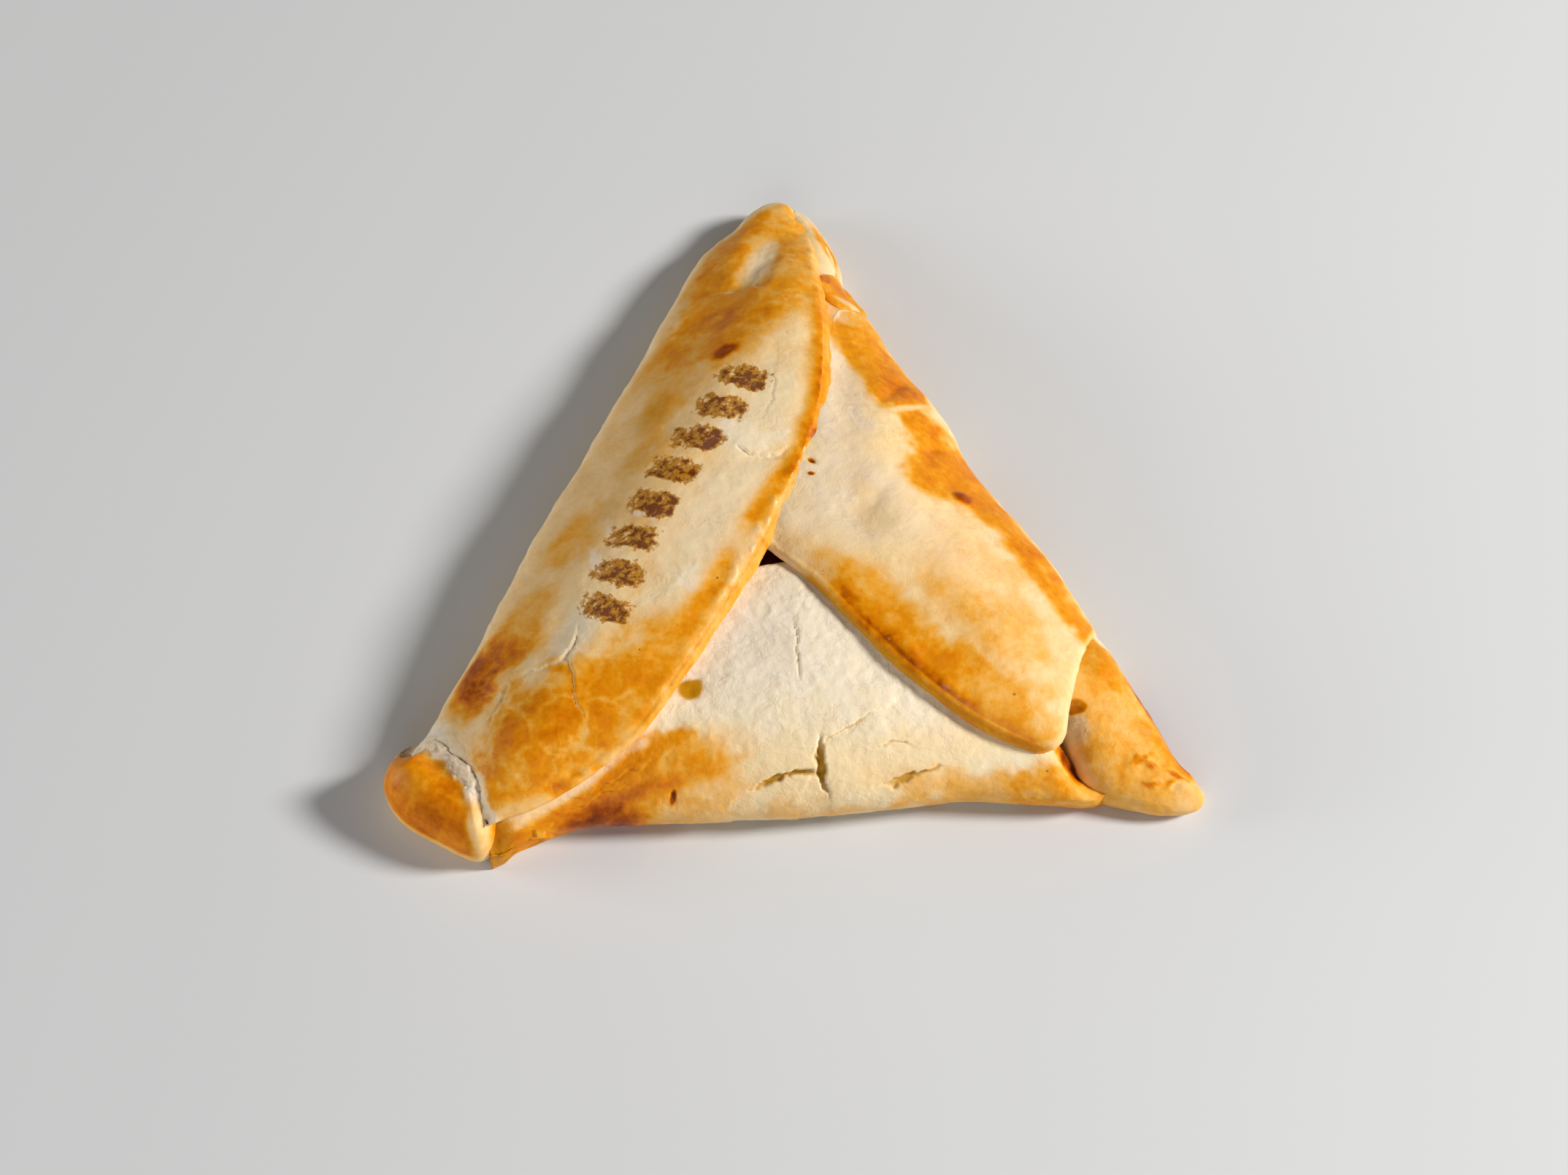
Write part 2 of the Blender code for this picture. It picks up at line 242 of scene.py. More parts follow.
def crust_material():
    """The baking, with painted shade in a few places, picks a colour from the steps. Flour,
    juice with some painted olive shade, a painted grey shade in the creases, burnt specks
    and the scorched bars are then laid over it in turn, each by its own share."""
    made, tree, shader = new_material("baked_egg_washed_dough")
    node = partial(add, tree)
    place = node("TexCoord", out="Object")
    bake, flour, juice, scorch, crazed, wet = [
        node("Attribute", out="Fac", attribute_name=key)
        for key in ("bake", "flour", "juice", "scorch", "craze", "wet")]
    mottle, spots, grain, skin = [
        node("TexNoise", {"Vector": place, "Scale": 1 / (size * mm), "Detail": detail,
                          "Roughness": roughness, "Distortion": distortion})
        for size, detail, roughness, distortion in (
            (MOTTLE_SIZE, 4.0, 0.55, 0.4), (SPECKLE_SIZE, 3.0, 0.6, 0.0),
            (GRAIN_SIZE, 3.0, 0.65, 0.0), (WRINKLE_SIZE, 4.0, 0.6, 1.0))]
    wide = node("Math", (mottle, 0.5), operation="SUBTRACT")

    # Crazing: borders between cells, moved about by a noise.
    warp = node("TexNoise", {"Vector": place, "Scale": 1 / (WARP_SIZE * mm), "Detail": 3.0}, "Color")
    warped = node("VectorMath", (warp, (WARP_FAR * mm,) * 3, place), operation="MULTIPLY_ADD")
    border = node("TexVoronoi", {"Vector": warped, "Scale": 1 / (CRAZE_SIZE * mm)},
                  feature="DISTANCE_TO_EDGE")
    craze = node("MapRange", (border, 0.0, 0.15, 1.0, 0.0), interpolation_type="SMOOTHSTEP")
    craze = node("Math", (craze, crazed), operation="MULTIPLY")

    # Wrinkles: the middle level of a noise, on pale skin only and in patches.
    wrinkle = node("Math", (skin, 0.5), operation="SUBTRACT")
    wrinkle = node("Math", (wrinkle,), operation="ABSOLUTE")
    wrinkle = node("MapRange", (wrinkle, 0.0, 0.07, 1.0, 0.0))
    pale = node("Math", (bake, -1.6, 1.05), operation="MULTIPLY_ADD")
    wrinkle = node("Math", (wrinkle, pale), operation="MULTIPLY", use_clamp=True)
    patches = node("Math", (mottle, 4.0, -1.5), operation="MULTIPLY_ADD", use_clamp=True)
    wrinkle = node("Math", (wrinkle, patches), operation="MULTIPLY")

    # Burnt specks: a dot in the middle of some cells, of a size picked by the cell's colour.
    cells = node("TexVoronoi", {"Vector": place, "Scale": 1 / (SPECK_GAP * mm)})
    pick = node("SeparateColor", (cells.node.outputs["Color"],))
    reach = node("Math", (pick, 0.075, -0.03), operation="MULTIPLY_ADD")
    speck = node("Math", (cells, reach), operation="LESS_THAN")
    browner = node("Math", (bake, 1.2), operation="MULTIPLY")
    speck = node("Math", (speck, browner), operation="MULTIPLY", use_clamp=True)

    # Uneven browning: wide patches, then spots, both stronger where the crust is darker.
    swing = node("Math", (bake, 0.5, 0.12), operation="MULTIPLY_ADD")
    brown = node("Math", (wide, swing, bake), operation="MULTIPLY_ADD")
    swing = node("Math", (swing, 0.55), operation="MULTIPLY")
    small = node("Math", (spots, 0.5), operation="SUBTRACT")
    brown = node("Math", (small, swing, brown), operation="MULTIPLY_ADD")
    paler = node("Math", (bake, 0.3), operation="MULTIPLY")
    paler = node("Math", (craze, paler), operation="MULTIPLY")
    brown = node("Math", (brown, paler), operation="SUBTRACT", use_clamp=True)
    crust = node("ValToRGB", (brown,))
    stops = crust.node.color_ramp.elements
    for k, (at, code) in enumerate(CRUST_STEPS):
        stop = stops[k] if k < 2 else stops.new(at)
        stop.position = at
        stop.color = colour(code)

    # Loose flour lies in patches and catches on the spots; juice, and the painted olive shade
    # carried with it, soaks in unevenly.
    dust = node("Math", (spots, 1.4, 0.3), operation="MULTIPLY_ADD")
    dust = node("Math", (flour, dust), operation="MULTIPLY")
    patches = node("Math", (wide, 1.2, 1.0), operation="MULTIPLY_ADD")
    dust = node("Math", (dust, patches), operation="MULTIPLY", use_clamp=True)
    thin_dust = node("Math", (dust, 0.85), operation="MULTIPLY")
    soaked_and_shaded = node("Math", (spots, 0.5, 0.75), operation="MULTIPLY_ADD")
    soaked_and_shaded = node("Math", (juice, soaked_and_shaded), operation="MULTIPLY", use_clamp=True)
    # A painted shade of grey in the creases of the wrinkles.
    crease_shade = node("Math", (wrinkle, 0.14), operation="MULTIPLY")
    for share, code in ((thin_dust, FLOUR_WHITE), (soaked_and_shaded, JUICE_AND_SHADE_OLIVE), (crease_shade, CREASE_SHADE_GREY),
                        (speck, SPECK_BROWN)):
        crust = node("Mix", {0: share, 6: crust, 7: colour(code)}, 2, data_type="RGBA")

    # A scorched bar is a mixture of amber and burnt grains, darkest where it burnt most.
    grains = node("Math", (spots, 2.4), operation="MULTIPLY")
    grains = node("Math", (grain, 0.9, grains), operation="MULTIPLY_ADD")
    grains = node("Math", (grains, 1.65), operation="SUBTRACT")
    burnt = node("Math", (scorch, grains), operation="ADD")
    marked = node("MapRange", (burnt, 0.18, 0.42, 0.0, 0.95))
    within = node("Math", (scorch, 0.02), operation="GREATER_THAN")
    marked = node("Math", (marked, within), operation="MULTIPLY")
    amber = node("MapRange", (burnt, 0.6, 0.85, 1.0, 0.0))
    bar = node("Mix", {0: amber, 6: colour(SCORCH_DARK), 7: colour(SCORCH_LIGHT)}, 2, data_type="RGBA")
    crust = node("Mix", {0: marked, 6: crust, 7: bar}, 2, data_type="RGBA")
    tree.links.new(crust, shader.inputs["Base Color"])

    # Egg wash shines on the browned parts; the floury parts are matt.
    shine = node("MapRange", (brown, 0.1, 0.7, 0.62, 0.36))
    shine = node("Math", (dust, 0.2, shine), operation="MULTIPLY_ADD")
    shine = node("Math", (wide, 0.25, shine), operation="MULTIPLY_ADD")
    shine = node("Math", (wet, -0.22, shine), operation="MULTIPLY_ADD", use_clamp=True)
    tree.links.new(shine, shader.inputs["Roughness"])
    gloss = node("Math", (wet, 0.22, 0.16), operation="MULTIPLY_ADD")
    tree.links.new(gloss, shader.inputs["Specular IOR Level"])

    # Spots and grain stand out; crazing and wrinkles are cut in.
    relief = node("Math", (grain, 0.3), operation="MULTIPLY")
    relief = node("Math", (spots, 0.5, relief), operation="MULTIPLY_ADD")
    relief = node("Math", (craze, -0.3, relief), operation="MULTIPLY_ADD")
    relief = node("Math", (wrinkle, -0.25, relief), operation="MULTIPLY_ADD")
    bump = node("Bump", {"Strength": 0.55, "Distance": RELIEF_DEPTH * mm, "Height": relief})
    tree.links.new(bump, shader.inputs["Normal"])
    shader.inputs["IOR"].default_value = 1.42
    shader.inputs["Subsurface Weight"].default_value = 0.2
    shader.inputs["Subsurface Radius"].default_value = (1.0, 0.55, 0.25)
    shader.inputs["Subsurface Scale"].default_value = SCATTER_DEPTH * mm
    return made


crust = crust_material()


def lump(outline, top, low, around, rings, inset, floor, under=5):
    """A closed mound over a rounded outline: rings shrink from the floor's middle out to the
    foot, climb the wall to the outline at height `low`, then close in over the top, whose
    height is top(xy, distance from the outline). Returns the grid of points."""
    edge = smooth_curve(outline, around, closed=True)
    middle = edge.mean(0)
    loop = np.vstack([edge, edge[:1]])
    toward = middle - edge
    toward /= np.linalg.norm(toward, axis=1)[:, None]
    sections = []
    for share in np.linspace(0.02, 0.9, under):
        foot = edge + toward * inset
        sections.append(np.column_stack([middle + (foot - middle) * share, np.full(around, floor)]))
    for angle in np.linspace(STEEPEST, 0, 10):
        pull = inset * (1 - math.cos(angle)) / (1 - math.cos(STEEPEST))
        up = (low - floor) * (1 - math.sin(angle) / math.sin(STEEPEST))
        sections.append(np.column_stack([edge + toward * pull, np.full(around, floor + up)]))
    for share in np.sin(np.linspace(math.pi / 2, 0.01, rings))[1:]:
        xy = middle + (edge - middle) * share
        sections.append(np.column_stack([xy, top(xy, distance_to(loop, xy))]))
    grid = np.stack(sections)
    turned = (edge[:, 0] * np.roll(edge[:, 1], -1) - edge[:, 1] * np.roll(edge[:, 0], -1)).sum()
    return grid[:, ::-1] if turned > 0 else grid


def scaled_outline(share, grow=0.0):
    """The pastry's whole outline drawn in towards the middle, then moved out by `grow`."""
    outline = np.vstack([smooth_curve(s, 12)[:-1] for s in (LEFT_SIDE, FRONT_SIDE, RIGHT_SIDE)])
    ray = outline - MIDDLE
    reach = np.linalg.norm(ray, axis=1)[:, None]
    return MIDDLE + ray * (share + grow / reach)


def base_top(xy, distance):
    """Level, at the thickness of the sheet."""
    return np.full(len(xy), BASE_THICK)


sheet = lump(scaled_outline(1.0, -BASE_INSET), base_top, BASE_THICK, 220, 30, 1.2, BASE_FLOOR, 60)
make_piece("base_sheet", sheet, crust,
           bake=0.55 + 0.12 * rough(sheet, 14, 3), flour=0.15 + 0.2 * noise(sheet, 9, 2))

# ------------------------------------------------------------------- filling
# Dark red fruit, cooked down to a thick jam with soft lumps. It fills the pocket under the
# flaps and shows only through the small vent where they meet.

CROWN = 20.5            # top of the plain dough pillow at its middle
CORNER_CROWN = 10.5     # the same near the three corners
BULGE = 7.5             # height of the widest line of the side wall
CORNER_BULGE = 4.5      # the same at the corners
REACH = 78.0            # from the middle to a corner
SHOULDER = 24.0         # how far in from a side the dough takes to reach full height
SHOULDER_POWER = 2.4    # larger is squarer
ROOF_THICK = 4.2        # of the folded dough over the filling
FILLING_SHARE = 0.62    # its width as a share of the pastry's
FIT_GAP = 0.35          # left between the filling and the dough
FILLING_FLOOR = BASE_THICK + FIT_GAP
FILLING_SIDE = FILLING_FLOOR + 5.0
LUMP_ROOM = 0.6         # and a little more, for its lumps
FILLING_SHOULDER = 14.0
PULP_SIZE = 2.2         # shreds of pulp and skin
FRUIT_DARK = "4A0C10"
PULP_RED = "A03A22"
SIDES = {name: smooth_curve(points, 60)
         for name, points in (("left", LEFT_SIDE), ("front", FRONT_SIDE), ("right", RIGHT_SIDE))}


def shoulder(distance, reach=SHOULDER):
    """From 0 at a side, rising upright, to a level 1 at `reach` from it: the root of one less
    a power of the share of the way left."""
    s = np.clip(distance / reach, 0, 1)
    return np.sqrt(1 - (1 - s) ** SHOULDER_POWER)


def bulge_height(xy):
    """Height of the widest line, less with the square of the distance from the middle."""
    r = np.clip(np.linalg.norm(xy - MIDDLE, axis=-1) / REACH, 0, 1)
    return BULGE + (CORNER_BULGE - BULGE) * r**2


def pillow(xy):
    """Height of the stuffed dough without its laps: a dome that falls upright to its three
    sides, by the product of the three shoulders."""
    r = np.clip(np.linalg.norm(xy - MIDDLE, axis=-1) / REACH, 0, 1.1)
    crown = CORNER_CROWN + (CROWN - CORNER_CROWN) * (1 - r**2.2)
    low = bulge_height(xy)
    inside = np.prod([shoulder(distance_to(side, xy, signed=True)) for side in SIDES.values()], axis=0)
    return low + (crown - low) * inside


def filling_top(xy, distance):
    """A shoulder from the height of its side up to just under the dough that roofs it."""
    roof = pillow(xy) - ROOF_THICK - FIT_GAP - LUMP_ROOM
    return FILLING_SIDE + (roof - FILLING_SIDE) * shoulder(distance, FILLING_SHOULDER)


def bell(value, width):
    """1 at zero, falling off both ways: e to the power of less the square of value over width."""
    return np.exp(-((value / width) ** 2))


def dents(xy, marks):
    """Sum of bell-shaped bumps (x, y, half length, half width, turn, height); a dent is a bump
    of negative height."""
    total = np.zeros(xy.shape[:-1])
    for x, y, long, wide, turn, height in marks:
        c, s = math.cos(math.radians(turn)), math.sin(math.radians(turn))
        dx, dy = xy[..., 0] - x, xy[..., 1] - y
        a, b = (dx * c + dy * s) / long, (dy * c - dx * s) / wide
        total += height * bell(np.hypot(a, b), 1.0)
    return total


def filling_material():
    """Jam with fruit skins: nearly black red, glossy, with slightly lighter pulp."""
    made, tree, shader = new_material("cooked_dark_fruit")
    node = partial(add, tree)
    place = node("TexCoord", out="Object")
    pulp = node("TexNoise", {"Vector": place, "Scale": 1 / (PULP_SIZE * mm), "Detail": 4.0})
    red = node("Mix", {0: pulp, 6: colour(FRUIT_DARK), 7: colour(PULP_RED)}, 2, data_type="RGBA")
    tree.links.new(red, shader.inputs["Base Color"])
    bump = node("Bump", {"Strength": 0.6, "Distance": 0.6 * mm, "Height": pulp})
    tree.links.new(bump, shader.inputs["Normal"])
    shader.inputs["Roughness"].default_value = 0.28
    shader.inputs["IOR"].default_value = 1.42
    return made


jam = lump(scaled_outline(FILLING_SHARE), filling_top, FILLING_SIDE, 180, 110, 2.5, FILLING_FLOOR)
jam_top = jam[..., 2] > FILLING_FLOOR + 6
jam[..., 2] += jam_top * (0.55 * noise(jam, 5, 1) + dents(jam[..., :2], [(-4, -16, 4, 4, 0, 2.4)]))
make_piece("fruit_filling", jam, filling_material(), "filling", "dark_fruit_filling")

# --------------------------------------------------------------- front flap
# The first of the three flaps, folded up over the filling from the near side. The other two
# cover its ends, so most of it stayed pale and floury and only its outer roll browned.

FOOT_INSET = 4.5        # the wall tucks in this far from its widest line to the floor
END_TAPER = 0.1         # and less over this share of a flap's length at its hidden ends
HALF_SHEET = 1.5        # half the thickness of the rolled-out dough
END_ROWS = 8            # columns that round off a flap's exposed end
THIN_END = 0.12         # share of the thickness left at that end's very edge
WALL_ROWS = 26          # rows of points up the side wall,
LIP_ROWS = 16           # round the free edge
UNDER_ROWS = 14         # and back underneath
CROWDING = 0.14         # the smaller, the closer the top's rows lie beside the outer line
FOOT_HEIGHT = 0.05
TUCK = 7.5              # the underside ends this far in from the outer line
UNDERSIDE = 50.0        # added to the edge distances of the underside, to tell it from the top
FRONT_EDGE = [(-49.5, -61), (-42, -50), (-32, -36), (-20, -24), (-9, -19.4), (-1, -17.8), (7, -16),
              (30, -35), (42, -46), (47.5, -49.5), (52, -51.2)]


def wrinkles(points, size, layer=0):
    """Thin raised lines where a noise passes through zero: a half, less a root of its size, and
    less a share of the size of a finer one."""
    finer = np.abs(noise(points, size / 2.3, layer + 1))
    return 0.5 - np.abs(noise(points, size, layer)) ** 0.7 - 0.3 * finer


def paint(value, points, strokes, ragged=0.3, grain=4.0):
    """Each stroke (x, y, half length, half width, turn in degrees, level, and a softness if it
    isn't 0.5) pulls the value to its level inside an ellipse seen from above, whose rim is
    ragged by noise."""
    torn = ragged * rough(points, grain, 3, 1)
    for x, y, long, wide, turn, level, *soft in strokes:
        soft = soft[0] if soft else 0.5
        c, s = math.cos(math.radians(turn)), math.sin(math.radians(turn))
        dx, dy = points[..., 0] - x, points[..., 1] - y
        reach = np.hypot((dx * c + dy * s) / long, (dy * c - dx * s) / wide) + torn
        value = value + (level - value) * (1 - smoothstep(1 - soft, 1 + soft, reach))
    return value


def astray(points, far, size, layer=0):
    """The plan position of each point moved up to `far` mm by noise, so that a line laid on
    it wanders and frays."""
    off = [rough(points, size, 3, layer), rough(points, size, 3, layer + 2)]
    return points[..., :2] + far * np.stack(off, axis=-1)


def crack(points, line, width, depth, ledge=0.0, layer=0):
    """A split along a polyline that wanders by noise: a steep trench of about that half width,
    closing over the last quarter of its length at both ends, whose left side stands `ledge` mm
    higher and sinks back over 3 mm. Returns the relief and the share of open trench."""
    path = smooth_curve(line, 30)
    xy = astray(points, 0.45, 2.4, layer)
    side = distance_to(path, xy, signed=True)
    first = np.hypot(*(xy - path[0]).transpose(2, 0, 1))
    last = np.hypot(*(xy - path[-1]).transpose(2, 0, 1))
    length = np.linalg.norm(np.diff(path, axis=0), axis=1).sum()
    ends = np.clip(np.minimum(first, last) / (0.25 * length), 0, 1) ** 0.6
    gape = width * (0.2 + 0.8 * ends) * (0.85 + 0.5 * noise(points, 2.6, layer + 1))
    trench = 1 - smoothstep(0.55, 1.2, np.abs(side) / np.maximum(gape, 0.05))
    raised = ledge * (side > 0) * np.exp(-np.abs(side) / 3.0) * (1 - trench)
    return ends * (raised - depth * trench), ends * trench


def outward(points):
    """Normals of a grid of closed rings: the cross product of its two central differences."""
    du = np.gradient(points, axis=0)
    dv = np.roll(points, -1, axis=1) - np.roll(points, 1, axis=1)
    n = np.cross(du, dv)
    return n / np.maximum(np.linalg.norm(n, axis=-1, keepdims=True), 1e-9)


def raise_relief(points, relief):
    """Moves each point along the surface's own normal by its relief, but not below the floor."""
    moved = points + outward(points) * relief[..., None]
    moved[..., 2] = np.maximum(moved[..., 2], np.minimum(points[..., 2], BASE_FLOOR))
    return moved


def stretch(side, first, last):
    """The part of a side's curve between its places nearest to two points."""
    near = [np.linalg.norm(SIDES[side] - place, axis=1).argmin() for place in (first, last)]
    return SIDES[side][near[0]:near[1] + 1]


def flap_place(outer, edge, end, u, s):
    """Coons patch: points at share u along a flap and share s from its outer line to its
    edge. The straight line between the two, plus the end curve's own departure from it."""
    fine = np.linspace(0, 1, 400)

    def on(curve, at):
        points = smooth_curve(curve, 400)
        return np.stack([np.interp(at, fine, points[:, k]) for k in (0, 1)], axis=-1)

    u2, s2 = u[..., None], s[..., None]
    ruled = (1 - s2) * on(outer, u) + s2 * on(edge, u)
    if end is None:
        return ruled
    first, last = np.asarray(end[0], float), np.asarray(end[-1], float)
    return ruled + u2 * (on(end, s) - (1 - s2) * first - s2 * last)


def flap_grid(outer, edge, top, columns, rows, end=None, end_round=HALF_SHEET,
              roll=0.0, roll_width=6.0):
    """A flap as a closed ring of points at each place along it. The ring climbs the side wall
    from the foot by a quarter ellipse, crosses the top, turns round the free edge by a half
    circle, and comes back underneath. An exposed end thins to a rounded edge. Returns the
    points, and their distances from the free edge and from the outer line."""
    length = np.linalg.norm(np.diff(smooth_curve(outer, 200), axis=0), axis=1).sum()
    u = np.linspace(0, 1, columns)
    thin = np.ones(columns)
    if end is not None:
        turn = np.linspace(0, math.pi / 2, END_ROWS + 1)[1:]
        near_end = 1 - end_round / length * (1 - np.sin(turn))
        u = np.append(np.linspace(0, 1 - end_round / length, columns - END_ROWS), near_end)
        thin[-END_ROWS:] = np.maximum(np.cos(turn), THIN_END)

    def at(s):
        return flap_place(outer, edge, end, u, s)

    # The way in from the outer line: square to it, but along the flap's own ends there.
    a, b = at(np.zeros(columns)), at(np.ones(columns))
    width = np.linalg.norm(b - a, axis=1)
    from_end = np.clip(np.minimum(u, 1 - u) / END_TAPER, 0, 1)
    along = np.gradient(a, axis=0)
    square = np.stack([-along[:, 1], along[:, 0]], axis=1)
    square /= np.linalg.norm(square, axis=1)[:, None]
    square *= np.sign((square * (MIDDLE - a)).sum(1))[:, None]
    square += ((b - a) / width[:, None] - square) * (1 - from_end[:, None])
    square /= np.linalg.norm(square, axis=1)[:, None]
    half = np.minimum(HALF_SHEET, 0.3 * width)
    thick = half * thin
    foot = np.minimum(FOOT_INSET * (0.08 + 0.92 * from_end), 0.3 * width)
    bulge = bulge_height(a)
    drop = half * (1 - thin)

    def height(xy, from_edge):
        curl = roll * np.clip(1 - from_edge / roll_width, 0, 1) ** 2
        return top(xy) - curl - drop

    rings, edge_far, side_far = [], [], []

    def row(xy, z, far, out):
        rings.append(np.column_stack([xy, z]))
        edge_far.append(far)
        side_far.append(out)

    for angle in np.linspace(STEEPEST, 0, WALL_ROWS):
        pull = foot * (1 - math.cos(angle)) / (1 - math.cos(STEEPEST))
        z = bulge * (1 - math.sin(angle) / math.sin(STEEPEST))
        row(a + square * pull[:, None], FOOT_HEIGHT + z * 0.99, width, z - bulge)
    t = np.linspace(0, 1, rows)[1:]
    shares = np.sqrt(t * t * (1 + 2 * CROWDING) + CROWDING**2) - CROWDING
    for share in shares / shares[-1]:
        s = share * (1 - half / width)
        xy = at(s)
        far = width * (1 - s)
        row(xy, height(xy, far), far, width * s)
    lip_start, lip_top = rings[-1][:, :2], rings[-1][:, 2]
    for angle in np.radians(np.linspace(90, -90, LIP_ROWS))[1:-1]:
        xy = lip_start + (b - lip_start) * math.cos(angle)
        row(xy, lip_top - thick * (1 - math.sin(angle)), 0 * width, width)
    inner = TUCK / np.maximum(width, 2 * TUCK)
    for share in np.linspace(1, 0, UNDER_ROWS):
        s = inner + (1 - half / width - inner) * share
        xy = at(s)
        far = width * (1 - s)
        row(xy, height(xy, far) - 2 * thick, far + UNDERSIDE, width * s)
    roof = height(at(inner), width) - 2 * thick
    for share in (0.35, 0.7, 1.0):
        xy = rings[-1][:, :2] if share < 1 else a + square * (foot * 1.25)[:, None]
        row(xy, roof * (1 - share) + 0.2, width + UNDERSIDE, 0 * width)
    grids = [np.stack(g, axis=1) for g in (rings, edge_far, side_far)]
    top_normal = outward(grids[0])[columns // 2, WALL_ROWS + rows // 2, 2]
    return grids if top_normal > 0 else [g[::-1] for g in grids]


# The outer line leaves the widest line at its right end, where it dips under the right tip.
FRONT_OUTER = np.vstack([stretch("front", (-49.6, -65.4), (47, -55.6)), [(50, -55.0), (52, -53.4)]])


def front_top(xy):
    """The pillow, less a hollow at its left end under the left flap, and tapering away at
    its right end under the right tip."""
    hollow = dents(xy, [(-50, -62.5, 5, 2.5, -55, -2), (46, -50.8, 3.5, 2, -35, -3)])
    low = bulge_height(xy)
    taper = 1 - 0.85 * smoothstep(42, 51, xy[..., 0])
    return low + (pillow(xy) - low) * taper + hollow - 0.4 * smoothstep(46, 51, xy[..., 0])


points, far, out = flap_grid(FRONT_OUTER, FRONT_EDGE, front_top, 380, 190)
xy = points[..., :2]
outside = far < UNDERSIDE - 1

# Splits in the drying skin: each a line of points, then its half width, depth and ledge.
SPLITS = [([(-0.1, -29.4), (0.6, -33), (0.4, -36.8), (1.3, -41.8)], 0.22, 0.25, 0.1),
          ([(12.9, -45.8), (9.2, -48.1), (5.9, -49.8), (4.3, -52.3)], 0.35, 0.4, -0.5),
          ([(4.6, -49.8), (4.3, -52.3), (4.6, -55), (5.7, -57.2)], 0.75, 1.3, 0.25),
          ([(-7.5, -57.2), (-3.8, -55.8), (0.8, -54.7), (4.5, -55.1)], 0.5, 0.9, 0.3),
          ([(14.7, -55.8), (18.4, -54.4), (24, -52.6)], 0.35, 0.5, 0.2),
          ([(13, -51), (16, -50.2), (19.5, -50.6)], 0.22, 0.25, 0.15),
          ([(-38, -59.0), (-30, -56.0), (-20, -52)], 0.2, 0.05, 0.2),
          ([(-48, -65.2), (-40, -61.4), (-33, -58.2), (-25, -55.6)], 0.2, 0.05, 0.3)]
cracked = np.zeros_like(far)

# Its skin swells softly, and dried into fine wrinkles away from the outer roll.
relief = 0.45 * noise(points, 17, 1) + 0.2 * noise(points, 7, 2)
relief += (0.14 * wrinkles(points, 4.2, 3) + 0.11 * wrinkles(points, 2.1, 1)) * smoothstep(3, 9, out)
relief += 0.06 * rough(points, 1.4, 2, 3) + 0.05 * wrinkles(points, 1.3, 2) * smoothstep(3, 9, out)
for k, (line, width, depth, ledge) in enumerate(SPLITS):
    step, shade = crack(points, line, width, depth, ledge, k % 3)
    relief += step
    cracked = np.maximum(cracked, shade * min(1.0, 1.6 * depth))
relief += dents(xy, [(-17, -42, 2.2, 1.6, 10, -0.5), (-19.6, -57.6, 0.3, 0.7, 20, -0.35),
                     (-30, -50, 14, 2, 32, 0.7), (14, -38, 8, 3, -35, -0.5),
                     (30, -47, 9, 2.5, -25, -0.4), (-9, -33, 6, 5, 0, -0.4)])

# Browned along the outer roll, most at the left; floured in the middle; juice in the cracks. A
# painted shade of dark brown lies in the gap under the right tip, and the flap is darker olive
# brown where it goes under the left corner.
bake = paint(np.full_like(far, 0.08), points, [
    (-2, -53, 28, 5.5, 0, 0.2, 0.6), (20, -50, 22, 5, 8, 0.2, 0.6), (6, -44, 16, 8, 0, 0.12, 0.7),
    (-19, -52.5, 9.5, 3.6, 14, 0.48), (-17.5, -54.8, 7, 3, 10, 0.54), (-27, -54.5, 10, 4, 28, 0.56, 0.4),
    (-36, -60.3, 14, 3.6, 25, 0.62), (-29, -59.5, 10, 1.8, 14, 0.81, 0.6),
    (-23, -57.8, 5, 1.5, 20, 0.68, 0.7), (-16, -58, 8, 2, 5, 0.42, 0.7),
    (-19.6, -57.6, 0.8, 0.45, 70, 0.86, 0.4), (-45, -65, 8, 2.6, 25, 0.6), (-36, -56.5, 12, 1.3, 28, 0.32),
    (34, -56, 16, 3, -2, 0.44), (28, -58, 20, 1.6, 4, 0.54, 0.6), (46, -54, 9, 2.6, 0, 0.52, 0.6),
    # (45.4, -50.2) is the painted shade in the gap under the right tip.
    (54, -54, 4, 3, 0, 0.52, 0.6), (45.4, -50.2, 3.4, 1.7, -40, 0.86, 0.6), (6, -59, 26, 1.4, 3, 0.4, 0.6),
    (-17, -42.2, 2.4, 1.7, 15, 0.5, 0.3), (-49, -62.5, 6, 3, -50, 0.62)])
flour = paint(np.full_like(far, 0.2), points, [
    (-2, -34, 20, 12, 0, 0.85, 0.6), (14, -38, 16, 6, -35, 0.7), (-26, -44, 15, 4.5, 48, 0.85),
    (0, -56, 30, 4, 0, 0.1)])
juice = np.maximum(0.95 * cracked, paint(0 * far, points, [
    (-17, -42.2, 2.2, 1.6, 15, 0.95, 0.25), (-49, -62.5, 6, 3, -50, 0.5)]))
points = raise_relief(points, relief * outside)
make_piece("front_flap", points, crust, bake=bake, flour=flour, juice=juice)

# --------------------------------------------------------------- right flap
# The second flap, folded in from the right over the front one. Its free edge stands proud as
# a glossy browned lip, and the hollow beside the left flap kept its flour.

RIGHT_STEP = 3.0        # it lies on the front flap
STEP_START = 5.0        # a flap starts to rise above the pillow this far from its side
STEP_RUN = 18.0         # and has its whole step this much further in
RIGHT_OUTER = stretch("right", (51.3, -25.2), (5.5, 58.5))[::-1]
RIGHT_EDGE = [(-3.5, 59), (-7, 30), (-8.5, 4), (-7, -12), (-3.6, -17.2), (3, -22.8), (10, -31),
              (17.5, -38.7), (26, -45), (33.5, -48.6), (39.5, -50.6)]
RIGHT_END = [tuple(RIGHT_OUTER[-1]), (48.6, -31), (46.4, -37.5), (45, -44), (44.4, -48),
             (42.6, -50.2), (39.5, -50.6)]


def rise(distance):
    """Smooth step, the way a flap climbs on to the one below it."""
    return smoothstep(STEP_START, STEP_START + STEP_RUN, distance)


